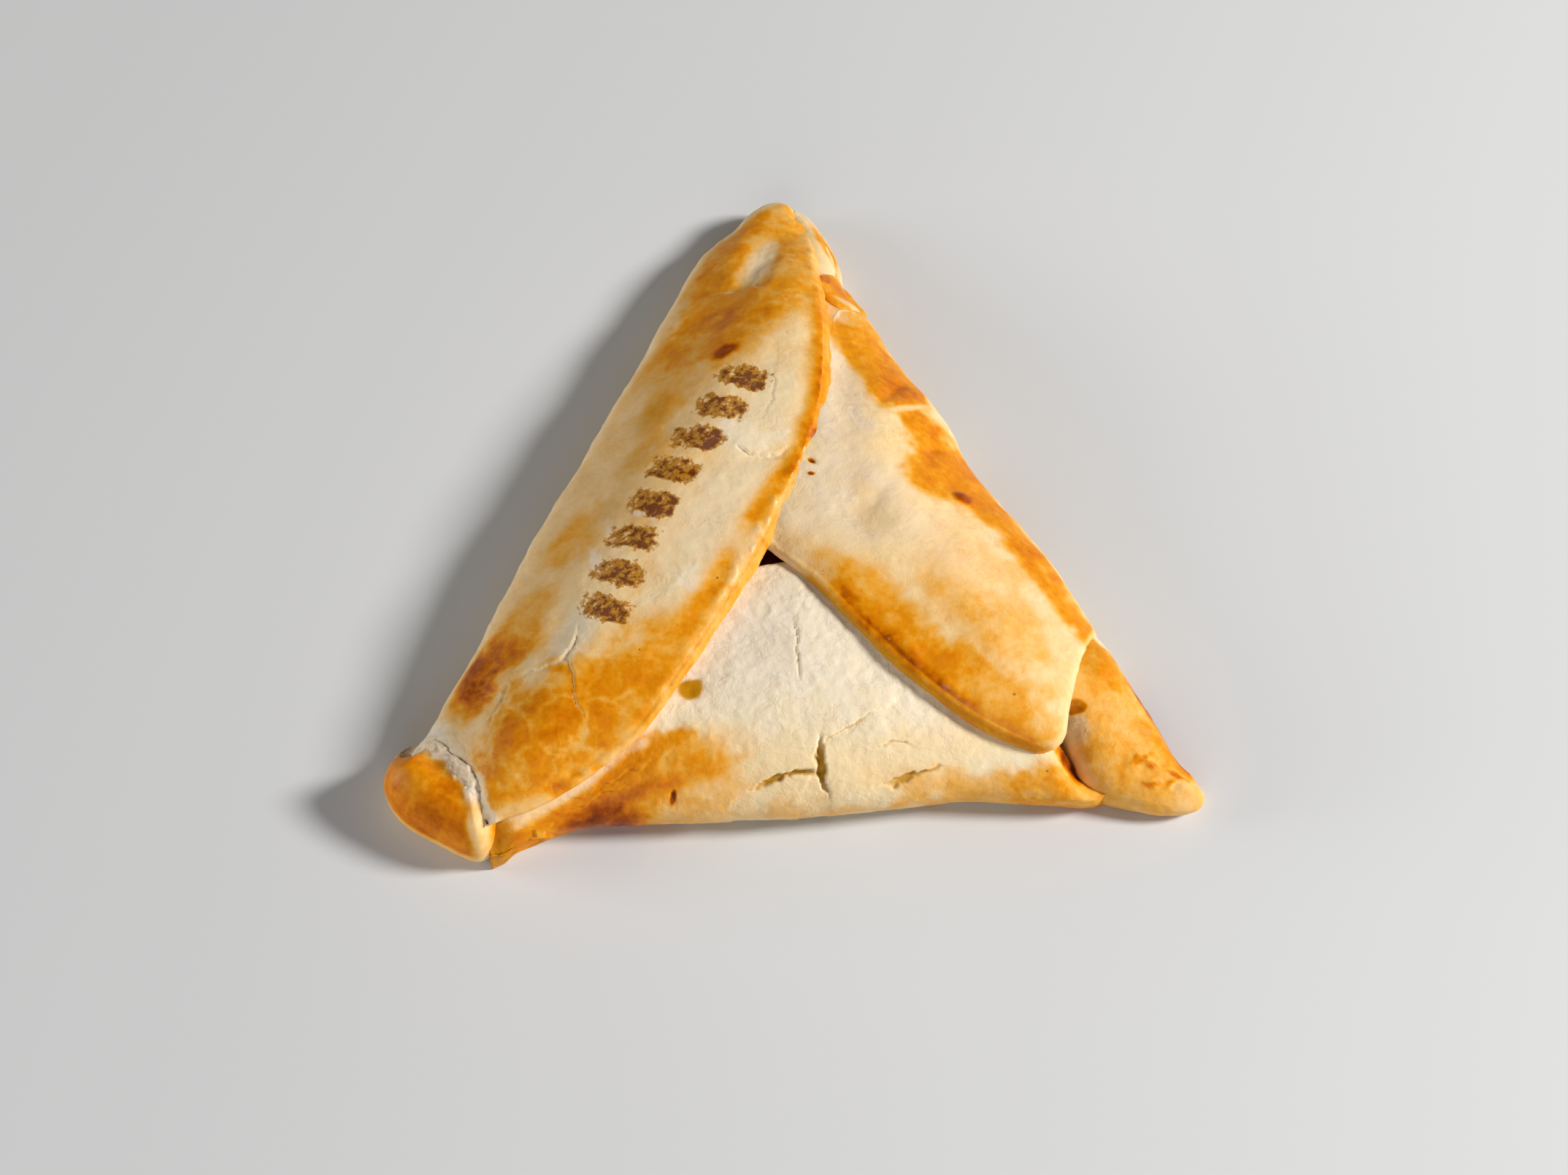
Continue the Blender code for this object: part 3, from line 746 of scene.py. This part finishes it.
def right_top(xy):
    """The pillow with this flap's step."""
    return pillow(xy) + RIGHT_STEP * rise(distance_to(SIDES["right"], xy))


points, far, out = flap_grid(RIGHT_OUTER, RIGHT_EDGE, right_top, 440, 160, RIGHT_END, roll=1.9)
xy = points[..., :2]
outside = far < UNDERSIDE - 1

# The lip along its lower edge, beaded where juice boiled out under it.
lip_zone = bell(np.maximum(far - 0.5, 0), 3.0) * smoothstep(-20, -24, xy[..., 1])
relief = 0.55 * noise(points, 19, 2) + 0.25 * noise(points, 8, 3)
relief += 0.07 * rough(points, 2.4, 3, 1)
beads = bell(far - 2.4, 1.3) * paint(0 * far, points, [
    (15.5, -35.5, 6.5, 3.2, -42, 1, 0.4), (23, -41.5, 5, 2, -35, 0.6, 0.4), (6, -26, 5, 2, -45, 0.3)])
relief += lip_zone * 0.15 + beads * (0.15 + 0.55 * np.clip(noise(points, 1.7, 2), -0.2, 1))
relief += dents(xy, [(12, -11, 5.5, 4, -20, -1.3), (14, -7, 3, 1.5, 60, -0.5),
                     (28.8, -3, 1.3, 1.3, 0, 0.7), (9, 15, 16, 3.5, 95, -0.9),
                     (20, -18, 12, 6, -35, 0.5), (18.9, -36.1, 2.2, 1.2, -40, 0.5),
                     (33, -33, 9, 7, -40, 0.5), (17, 19, 5, 1.2, 60, -0.5),
                     (24, 7, 2.5, 1.2, 60, -0.4), (3, -0.2, 0.9, 0.5, -35, -0.5)])
relief += 0.3 * wrinkles(points, 3.4, 2) * bell(np.hypot(xy[..., 0] - 12, xy[..., 1] + 9), 5.5)
end_far = distance_to(smooth_curve(RIGHT_END, 24), xy)
step, pucker = crack(points, [(7.2, 33.5), (7.8, 37), (9.2, 39), (12.6, 38.6)], 0.3, -0.12)
relief += step

# Browned along the right side and the lip, and pale at the end that tucks into the tip.
bake = paint(np.full_like(far, 0.23), points, [
    (12, 31, 16, 5, 114, 0.57, 0.6), (17, 21, 8, 5, 118, 0.6), (19, 19, 4, 3, 120, 0.67),
    (27, 4, 13, 5, 122, 0.62, 0.45), (22, -1, 5, 3.5, 120, 0.56), (38, -10, 18, 3.4, 120, 0.6),
    (46, -23, 10, 3, 119, 0.6), (24, -14, 14, 6, -30, 0.27, 0.6), (33, -29, 15, 9, -50, 0.43, 0.6),
    (13, -26.8, 13, 4.5, -38, 0.52, 0.6), (12, -30.5, 9, 2.4, -45, 0.62),
    (24.5, -39.5, 16, 4.6, -34, 0.56, 0.6), (37, -46, 9, 4.5, -32, 0.48, 0.6),
    (28.8, -3, 1.5, 1.3, 0, 0.8, 0.4), (3, -0.2, 1, 0.5, -35, 0.96, 0.3), (3, -2.9, 0.6, 0.4, 0, 0.9, 0.3),
    (30, -20, 10, 5, -40, 0.34, 0.6), (45, -36, 9, 2.5, 105, 0.3, 0.6), (8.5, 39, 4, 3.5, 110, 0.4, 0.6),
    (10.5, 45.5, 9, 4, 110, 0.5), (19.5, 15.5, 5, 0.7, 35, 0.3)])
bake = bake - 0.12 * pucker
bake = bake + 0.6 * smoothstep(1.1, 0.4, end_far) * (0.22 - bake)
crest = bell(far - 1.8, 1.7) * lip_zone
lip_brown = smoothstep(4.2, 1.6, far) * paint(0 * far, points, [(19, -35.5, 15, 6, -40, 1)])
bake = np.maximum(bake, 0.64 * lip_brown)
bake = bake + crest * (0.14 + 0.06 * noise(points, 4, 3)) + 0.05 * beads
flour = paint(np.full_like(far, 0.05), points, [
    (7, 18, 22, 5, 96, 0.85), (8, -6, 9, 9, 0, 0.7, 0.6), (18, -12, 10, 5, -30, 0.35, 0.6)])
relief += 0.14 * wrinkles(points, 2.3, 3) * flour
# Olive in the dent near the vent, in a patch by the middle, and down the hollow beside the left flap.
juice = paint(0 * far, points, [(12, -11, 4.5, 2.6, -20, 0.24, 0.7), (8.5, 14, 20, 4.2, 96, 0.3, 0.8),
                                (4, -8, 8, 5, 80, 0.12, 0.7)])
# Painted shade on the lip's face, where its normal turns from up: browner, and olive towards the left.
shaded_lip_face = (far < 0.5) * smoothstep(0.85, 0.35, outward(points)[..., 2]) * smoothstep(-20, -24, xy[..., 1])
bake = bake + shaded_lip_face * (0.6 - bake)
juice = np.maximum(juice, shaded_lip_face * (0.8 - 0.5 * smoothstep(14, 34, xy[..., 0])))
points = raise_relief(points, relief * outside)
make_piece("right_flap", points, crust, bake=bake, flour=flour, juice=juice, wet=beads + 0.5 * crest)

# ---------------------------------------------------------------- left flap
# The last flap, folded in from the left over both others. It stands highest, so its rim and
# its two ends browned most, and a hot iron left a row of short scorched bars down its middle.

LEFT_STEP = 4.6         # it lies on top of the other two
LEFT_OUTER = np.vstack([[(1.6, 65.4), (0, 67.3)], stretch("left", (-3, 68.3), (-62.9, -45.9))])
LEFT_EDGE = [(1.9, 64.6), (3.1, 59.5), (4.2, 53.5), (4.7, 47), (6, 28), (4.5, 7), (-2.4, -12.5),
             (-11.6, -31), (-22, -47.5), (-29.5, -54), (-38.5, -59), (-45, -61.8), (-49.5, -63.2)]
LEFT_END = [tuple(LEFT_OUTER[-1]), (-60.2, -47), (-57, -50.8), (-54.2, -54.4), (-51.9, -58.1),
            (-51, -60.8), (-49.5, -63.2)]
PEAK_LINE = np.array(((-2.6, 61.0), (-8.0, 49.0)))
PEAK_CROWN = 9.3        # at the top corner
PEAK_RISE = 2.4         # higher at the line's other end
PEAK_REACH = 7.4
PEAK_FOOT = CORNER_BULGE - 1.5
JOIN_ROUND = 1.5        # the larger, the softer the ridge joins the flap


def left_top(xy):
    """The pillow with this flap's step; or the rounded ridge that runs to the top corner, where
    that is higher, joined smoothly: half the sum of the two and of a rounded difference."""
    plain = pillow(xy) + LEFT_STEP * rise(distance_to(SIDES["left"], xy))
    start, run = PEAK_LINE[0], PEAK_LINE[1] - PEAK_LINE[0]
    down = np.clip((xy - start) @ run / (run @ run), 0, 1)
    away = np.linalg.norm(xy - start - down[..., None] * run, axis=-1)
    inside = np.clip(1 - (away / PEAK_REACH) ** 2.4, 0, 1)
    ridge = PEAK_FOOT + (PEAK_CROWN + PEAK_RISE * down - PEAK_FOOT) * np.sqrt(inside)
    return 0.5 * (plain + ridge + np.sqrt((plain - ridge) ** 2 + JOIN_ROUND)) - 0.3


points, far, out = flap_grid(LEFT_OUTER, LEFT_EDGE, left_top, 520, 130, LEFT_END, end_round=2.5,
                             roll=1.5, roll_width=8.0)
xy = points[..., :2]
outside = far < UNDERSIDE - 1

# A rounded rim, beaded like that lip.
rim = bell(far, 5.0)
lower = smoothstep(4, -14, xy[..., 1])
bead_line = bell(far - 1.2 - 0.9 * lower, 1.0) * smoothstep(30, 18, xy[..., 1])
bead_line = bead_line * smoothstep(-40, -20, xy[..., 1])
beads = bead_line * np.clip(0.2 + 1.2 * noise(points, 1.5, 2), 0, 1)
relief = 0.6 * noise(points, 21, 3) + 0.28 * noise(points, 8, 1)
relief += 0.08 * rough(points, 2.6, 3, 2) + 0.45 * beads
relief += 0.35 * bell(far - 2.0, 1.6) + rim * 0.14 * noise(points, 2.0, 2)
relief += dents(astray(points, 0.5, 3.0), [
    (-6.2, 48.5, 6.5, 2.5, 70, -0.9), (-8, 43.5, 4, 2.6, 60, -0.7), (-11, 42.4, 4.5, 1.4, 8, -0.3),
    (-11, 50, 7, 2.8, 72, 0.4), (-2.5, 45, 7, 3, 80, 0.25), (-5, 0, 4.5, 2, 10, -0.5),
    (-38, -31, 7, 4, 60, -0.7), (-20, -28, 12, 5, 58, 0.4), (2.2, 64.8, 2.6, 2.4, 0, -2)])
TEARS = [([(-14, 42.0), (-11, 41.6), (-7.9, 41.9), (-5.5, 39.6)], 0.35, 0.35, -0.4),
         ([(-46.1, -39.2), (-41.8, -38.6), (-37.5, -37.7), (-35.4, -32.6), (-34.9, -31.5)],
          0.35, 0.2, 0.35),
         ([(-36.7, -35.7), (-36, -41.3), (-35, -46.2), (-33.1, -49)], 0.2, 0.1, 0.25),
         ([(-46.1, -39.2), (-48.1, -43.1), (-50, -47)], 0.35, 0.3, 0.25),
         ([(-10, 2.5), (-6.5, 0.2), (-3, 0.6), (-0.5, 2)], 0.35, 0.3, 0.3),
         ([(-3, 19), (-3.6, 12), (-5, 7)], 0.25, 0.05, 0.2)]
torn = np.zeros_like(far)
for k, (line, width, depth, ledge) in enumerate(TEARS):
    step, shade = crack(points, line, width, depth, ledge, k % 3)
    relief += step
    torn = np.maximum(torn, shade)

# Browned at both ends and along the rim, pale down the middle and on the wall.
bake = paint(np.full_like(far, 0.32), points, [
    (-3, 61, 10, 8, 0, 0.48, 0.6), (-9, 60, 7, 3, 60, 0.58), (-13, 50, 10, 5, 65, 0.57),
    (0, 50, 9, 4, 100, 0.53), (-4, 38, 10, 6, 30, 0.56), (-12, 37, 9, 6, 60, 0.57),
    (-11, 30, 8, 9, 20, 0.58, 0.4), (-14, 33.5, 4, 2.5, 20, 0.74), (-11.7, 24, 2.2, 1.6, 30, 0.86, 0.4),
    (-20, 26, 12, 6, 62, 0.55), (-26, 16, 10, 5, 62, 0.42), (-31, 6, 14, 5, 62, 0.33, 0.6),
    (-21, 15, 6, 3.5, 60, 0.49, 0.6), (-25, 3, 5, 3, 40, 0.43, 0.6), (-5, 9, 17, 6.5, 76, 0.19, 0.6),
    (-12, -14, 14, 8, 62, 0.19, 0.6), (-40, -10, 14, 5, 63, 0.29, 0.6), (-33, -25, 9, 5, 60, 0.22),
    (-20, -26, 6, 4, 60, 0.16, 0.6), (-37, -12, 7, 4, 60, 0.46, 0.6), (-46, -31, 9, 4.5, 62, 0.58),
    (-52, -36, 8, 4, 62, 0.76), (-43, -25, 6, 4, 60, 0.46), (-22, -38, 9, 6, 55, 0.42),
    (-14, -32, 6, 4, 60, 0.34), (-30, -46, 12, 8, 40, 0.58), (-40, -48, 11, 8, 30, 0.62, 0.45),
    (-45, -55, 9, 5, 10, 0.6), (-38, -54, 6, 4, 20, 0.68), (-43.6, -57, 3, 2, 40, 0.7, 0.6),
    (-35, -33, 4, 2, 60, 0.2, 0.6), (-58, -45, 5, 2, 120, 0.2, 0.6)])
bake = paint(bake, points, [
    (4, 5.2, 1.6, 1.3, 60, 0.84, 0.4), (-18.6, -3.1, 1.5, 0.7, 10, 1, 0.25)], 0.5, 1.5)
band = bell(far - 1.5 - 2.5 * lower, 2.6 + 0.4 * lower)
band = band * smoothstep(44, 34, xy[..., 1]) * smoothstep(-0.9, 0.2, noise(points, 10, 1) + 0.55)
bake = bake + band * (0.62 - 0.06 * lower - bake)
pale_rim = lower * smoothstep(2.2, 1.0, far) * smoothstep(-52, -40, xy[..., 1])
pale_rim = np.maximum(pale_rim, 0.6 * smoothstep(30, 42, xy[..., 1]) * smoothstep(1.2, 0.5, far))
bake = bake + 0.8 * pale_rim * (0.52 - bake) - 0.12 * beads * lower + 0.12 * beads * (1 - lower)
sides = smoothstep(2.6, 0.4, out) * smoothstep(-9, -2, out)
bake = bake + 0.75 * sides * (0.17 - bake)
bake = paint(bake, points, [(-6.2, 48.5, 6, 2, 70, 0.26, 0.8)])
bake = bake - 0.35 * torn * bake
end_far = distance_to(smooth_curve(LEFT_END, 24), astray(points, 0.6, 2.2, 1))
floury_end = smoothstep(2.4, 0.6, end_far)
bake = bake + 0.8 * floury_end * (0.18 - bake)
relief += floury_end * 0.3 * rough(points, 1.6, 3, 2)
flour = paint(np.full_like(far, 0.06), points, [
    (-6, 5, 16, 6, 76, 0.25, 0.6), (-13, -15, 13, 8, 60, 0.3, 0.6), (-6.2, 48.5, 6, 1.8, 70, 0.35, 0.8),
    (-36, -33, 5, 3, 60, 0.5), (-60, -44.5, 3.5, 1.8, 120, 0.9), (-54.5, -51.5, 5, 1, 122, 0.6)])
flour = np.maximum(flour, 0.35 * torn) * (1 - 0.8 * rim)
flour = np.maximum(flour, 0.7 * floury_end)
relief += 0.16 * wrinkles(points, 2.4, 1) * smoothstep(0.38, 0.15, bake)
flour = np.maximum(flour, paint(0 * far, points, [
    (-14.2, 3.4, 2.6, 1.7, 20, 0.7), (-23, -11, 3.2, 0.9, -20, 0.7), (-31, -12.5, 0.8, 4, 20, 0.6),
    (-32.6, -19.5, 0.8, 4, 15, 0.6), (-17, -24.5, 2.6, 2, 0, 0.6, 0.6), (-8, 4, 6, 3, -10, 0.6)], 0.8, 2.2))
oily = paint(0 * far, points, [
    (-24.5, 12.6, 4, 2.4, 60, 0.34, 0.7), (-27.4, 1, 5, 2.2, 65, 0.26, 0.7),
    (-32, -8, 4, 2.2, 62, 0.26, 0.7)])
craze = paint(0 * far, points, [
    (-44, -44, 16, 9, 40, 0.7), (-36, -50, 12, 8, 30, 0.5), (-30, -36, 8, 6, 60, 0.4)])

# The iron's eight plain bars, across a line down the flap and burnt darker at their right ends.
BAR_LINE = smooth_curve([(-8.5, 17), (-16, 5), (-22, -5), (-28, -17), (-31, -29)], 8)
BAR_TURN = math.radians(-22)
BAR_HALF_LONG = 4.6
BAR_HALF_WIDE = 2.5
scorch = np.zeros_like(far)
frayed = astray(points, 0.5, 2.0, 2)
for x, y in BAR_LINE:
    dx, dy = frayed[..., 0] - x, frayed[..., 1] - y
    a = (dx * math.cos(BAR_TURN) + dy * math.sin(BAR_TURN)) / BAR_HALF_LONG
    b = (dy * math.cos(BAR_TURN) - dx * math.sin(BAR_TURN)) / BAR_HALF_WIDE
    bar = 1 - smoothstep(0.75, 1.15, (a**4 + b**4) ** 0.25)
    scorch = np.maximum(scorch, bar * np.clip(0.72 + 0.2 * a - 0.1 * b, 0, 1))
scorch = scorch * np.clip(0.9 + 0.35 * noise(points, 3.5, 2), 0.3, 1)
relief -= 0.12 * scorch
points = raise_relief(points, relief * outside)
make_piece("left_flap", points, crust, bake=bake, flour=flour, juice=oily,
           scorch=scorch, craze=craze, wet=beads + 0.3 * band)

# ---------------------------------------------------------------- right tip
# Spare dough at the right corner, rolled into a lying cone whose wide end comes out from
# under the right flap.

TIP_OUTLINE = [(51.3, -25.2), (57, -35.5), (62, -45), (66.2, -50.6), (67.6, -53.8), (66, -56.0),
               (61.5, -56.6), (55.5, -55.7), (51.2, -54.6), (47.4, -52.2), (45.2, -48.8), (43, -45),
               (37, -40), (40, -26), (46, -21.5)]
TIP_CROWN = 15.8        # where it comes out from under the right flap
TIP_LOW = 6.0           # at its point
TIP_BULGE = 3.6
TIP_SHOULDER = 8.5
TIP_SPINE = np.array(((45.0, -38.0), (67.0, -55.5)))
CORNER_FLOOR = 0.12     # just above the undersides of the base sheet and the flaps


def tip_top(xy, distance):
    """A shoulder up to a crown that sinks along the spine towards the point, held under the
    right flap as far as that lies over it."""
    start, run = TIP_SPINE[0], TIP_SPINE[1] - TIP_SPINE[0]
    along = np.clip((xy - start) @ run / (run @ run), 0, 1)
    crown = TIP_CROWN + (TIP_LOW - TIP_CROWN) * along
    cone = TIP_BULGE + (crown - TIP_BULGE) * shoulder(distance, TIP_SHOULDER)
    beyond = distance_to(smooth_curve(RIGHT_END, 24), xy, signed=True)
    cover = right_top(xy) - 0.4 + 0.45 * np.clip(beyond, -2, None)
    lower = 0.5 * (cone + cover - np.sqrt((cone - cover) ** 2 + 2.0))
    return np.maximum(lower, TIP_BULGE)


points = lump(TIP_OUTLINE, tip_top, TIP_BULGE, 260, 90, 2.0, CORNER_FLOOR)
upper = smoothstep(0.5, 3, points[..., 2])
relief = upper * (0.35 * noise(points, 9, 1) + 0.10 * rough(points, 2.6, 3, 2))
relief += upper * dents(points[..., :2], [(46.2, -42.2, 1.6, 1, 4, -0.35), (58, -44, 7, 1.5, -55, 0.3)])
relief += upper * 0.25 * wrinkles(points, 3.0, 2) * smoothstep(52, 60, points[..., 0])
TORN_BITS = [(57.2, -49.8, 2.0, 0.5, 25), (58.6, -50.6, 1.3, 0.6, -30), (59.0, -53.4, 1.6, 0.6, 10),
             (63.4, -51.8, 1.4, 0.4, -20), (62.0, -53.0, 1.0, 0.4, 30)]
relief += upper * dents(astray(points, 0.4, 1.5), [(*bit, 0.35) for bit in TORN_BITS])
bake = paint(np.full(points.shape[:2], 0.45), points, [
    (50, -33, 7, 4, -60, 0.52), (52.5, -35.5, 3, 2, -60, 0.58), (61, -43.5, 12, 1.3, -61, 0.84),
    (60, -46, 5, 2, -50, 0.58), (47, -47.5, 5, 1.8, -70, 0.26), (50.5, -50.5, 6, 2, -40, 0.48),
    (59, -50.5, 7, 4, -35, 0.47), (65.6, -54, 3.2, 2.6, 0, 0.4), (51.6, -27.2, 1, 2.2, 30, 0.14, 0.6)])
bake = paint(bake, points, [(*bit, 0.66) for bit in TORN_BITS], 0.6, 1.3)
bake = paint(bake, points, [(46.2, -42.2, 1.9, 1.15, 4, 0.74, 0.2)], 0.1, 3.0)
juice = paint(0 * bake, points, [(46.2, -42.2, 1.9, 1.15, 4, 0.3, 0.2)], 0.1, 3.0)
points = raise_relief(points, relief)
make_piece("right_tip", points, crust, bake=bake, flour=0.1, juice=juice)

# ------------------------------------------------------------- left corner
# Spare dough at the lower left corner, pressed into a round knob against the end of the left
# flap. The torn, floury crease between them opened in the oven.

KNOB_OUTLINE = [(-61.5, -44.8), (-64.8, -45.9), (-67, -49.4), (-67.4, -53.6), (-64.4, -58.6),
                (-57.4, -63.3), (-52.5, -65.6), (-49.9, -65.2), (-48.2, -62.6), (-46.5, -59.5),
                (-43, -52), (-49, -44)]
KNOB_CROWN = 13.2
KNOB_BULGE = 5.0
KNOB_SHOULDER = 8.5
KNOB_DROP = 4.5         # under the end of the left flap
KNOB_CREASE = smooth_curve([(-65.2, -44.8)] + LEFT_END[:-1] + [(-50.9, -63.5)], 24)


def knob_top(xy, distance):
    """A dome that comes down to the height of the left flap's end beside the crease, by a bell
    curve of the distance, and drops away by a smooth step where it goes under that flap."""
    dome = KNOB_BULGE + (KNOB_CROWN - KNOB_BULGE) * shoulder(distance, KNOB_SHOULDER)
    past = distance_to(KNOB_CREASE, xy, signed=True)
    near = bell(np.maximum(-past, 0), 3.0)
    level = np.minimum(dome, left_top(xy) - 0.1)
    drop = KNOB_DROP * smoothstep(1.3, 3.1, past) * smoothstep(0.8, 2.4, distance)
    return np.maximum(dome + near * (level - dome) - drop, 2.0)


points = lump(KNOB_OUTLINE, knob_top, KNOB_BULGE, 240, 90, 3.0, CORNER_FLOOR)
upper = smoothstep(0.5, 3, points[..., 2])
relief = upper * (0.35 * noise(points, 10, 2) + 0.06 * rough(points, 2.6, 3, 1))
torn = bell(distance_to(KNOB_CREASE, astray(points, 0.8, 2.5)), 1.4)
torn = np.maximum(torn, smoothstep(-0.9, 0.3, distance_to(KNOB_CREASE, points[..., :2], signed=True)))
torn = torn * smoothstep(-62, -58, points[..., 1])
relief += upper * torn * 0.35 * rough(points, 1.6, 3, 2)
bake = paint(np.full(points.shape[:2], 0.56), points, [
    (-61.5, -52, 6, 5, 110, 0.6), (-59, -59, 8, 4, -25, 0.64), (-57, -62.5, 8, 2, -25, 0.66),
    (-51, -63.4, 3.6, 1.9, 100, 0.34, 0.4)])
bake = bake + 0.85 * torn * (0.2 - bake)
rind = smoothstep(5.6, 4.6, points[..., 2])
bake = bake + 0.7 * rind * (0.28 - bake)
points = raise_relief(points, relief)
make_piece("left_knob", points, crust, bake=bake, flour=0.75 * torn)

# ------------------------------------------------------------- top corner
# The right flap's end is gathered into two small folds beside the top of the left flap.

PALE_FOLD = [(-1.5, 67), (1.9, 65.9), (5.4, 61.2), (7.7, 55.8), (8.8, 50.9), (7.4, 48.4), (4.5, 48.5),
             (3, 54), (1, 61)]
BROWN_FOLD = [(5, 48.5), (7.4, 50), (9.8, 48.2), (11.6, 45.4), (13.1, 42.6), (10.5, 39.8), (7.5, 39.2),
              (5, 42), (4, 46)]
FOLD_ROUND = 2.2        # width of their rounded rims


def fold_top(xy, distance, thick, low):
    """The right flap's top, or the height of the fold's widest line where that is higher, with
    the fold's thickness reached by a shoulder."""
    return np.maximum(right_top(xy), low) + thick * shoulder(distance, FOLD_ROUND)


# Each fold's name and outline, thickness, height of its widest line, and browning.
for name, outline, thick, low, baked in (("pale_fold", PALE_FOLD, 0.8, 4.0, 0.2),
                                         ("brown_fold", BROWN_FOLD, 1.0, 4.4, 0.54)):
    points = lump(outline, lambda xy, far: fold_top(xy, far, thick, low), low, 160, 50, 1.5, CORNER_FLOOR)
    upper = smoothstep(0.5, 3, points[..., 2])
    relief = upper * (0.25 * noise(points, 6, 2) + 0.06 * rough(points, 2.2, 3, 1))
    bake = paint(np.full(points.shape[:2], baked), points, [
        (5.6, 57.5, 5.2, 1.5, -68, 0.56), (8.2, 45.4, 3, 1.2, -60, 0.64), (5.6, 46.8, 1, 1.6, 0, 0.78),
        (10.6, 40.8, 3, 0.9, -20, 0.34)])
    points = raise_relief(points, relief)
    # A painted shadow of the left flap's edge, in grey olive, down the pale fold beside it.
    juice = paint(0 * bake, points, [(3.4, 56, 8, 1.8, -74, 0.35, 0.6)])
    make_piece(name, points, crust, bake=bake, flour=0.1, juice=juice)

# -------------------------------------------------------------------- stage
# A pale table top, a soft window on the right of the pastry, and two weaker wide lamps for
# the light walls in front and on the left. The camera looks down on it as a person seated
# at the table would.

def plain_surface(name, code, roughness):
    """Matt pale paint, with no pattern."""
    made, tree, shader = new_material(name)
    shader.inputs["Base Color"].default_value = colour(code)
    shader.inputs["Roughness"].default_value = roughness
    return made


TABLE_HALF = 3000.0
TABLE_GREY = "D7D8D9"
WALL_WHITE = "F2F4F6"
table_mesh = bpy.data.meshes.new("table")
corners = [(x * TABLE_HALF * mm, y * TABLE_HALF * mm, 0) for x, y in ((-1, -1), (1, -1), (1, 1), (-1, 1))]
table_mesh.from_pydata(corners, [], [(0, 1, 2, 3)])
table_mesh.materials.append(plain_surface("pale_table", TABLE_GREY, 0.6))
table = new_object("table", table_mesh)

LENS = 85.0
SENSOR = 36.0
CAMERA_HEIGHT = 58.0    # degrees above the table
CAMERA_AWAY = 635.6
LOOK_AT = np.array((-1.6, -10.8, 0.0))
lens = bpy.data.cameras.new("camera")
lens.lens = LENS
lens.sensor_width = SENSOR
lens.clip_start = 0.01
camera = new_object("camera", lens)
tilt = math.radians(CAMERA_HEIGHT)
camera.location = (LOOK_AT + CAMERA_AWAY * np.array((0, -math.cos(tilt), math.sin(tilt)))) * mm
camera.rotation_euler = (math.pi / 2 - tilt, 0, 0)
bpy.context.scene.camera = camera


def lamp(name, azimuth, elevation, away, size, power, tint):
    """A round soft light that faces the pastry from a direction in degrees, +X being 0."""
    light = bpy.data.lights.new(name, "AREA")
    light.shape = "DISK"
    light.size = size * mm
    light.energy = power
    light.color = tint
    obj = new_object(name, light)
    a, e = math.radians(azimuth), math.radians(elevation)
    aim = np.array((math.cos(a) * math.cos(e), math.sin(a) * math.cos(e), math.sin(e)))
    obj.location = aim * away * mm
    obj.rotation_euler = (math.pi / 2 - e, 0, a + math.pi / 2)


WARM_WHITE = (1.0, 0.985, 0.965)
COOL_WHITE = (0.98, 0.99, 1.0)
lamp("window", azimuth=-2, elevation=34, away=1400, size=330, power=24.6, tint=WARM_WHITE)
lamp("front_wall", azimuth=-95, elevation=27, away=1600, size=1100, power=7.5, tint=COOL_WHITE)
lamp("left_wall", azimuth=176, elevation=12, away=1600, size=800, power=13.6, tint=WARM_WHITE)
world = bpy.data.worlds.new("room")
world.use_nodes = True
sky = world.node_tree.nodes["Background"]
sky.inputs["Color"].default_value = colour(WALL_WHITE)
sky.inputs["Strength"].default_value = 0.04
bpy.context.scene.world = world
bpy.context.scene.view_settings.view_transform = "Standard"

bpy.context.view_layer.update()
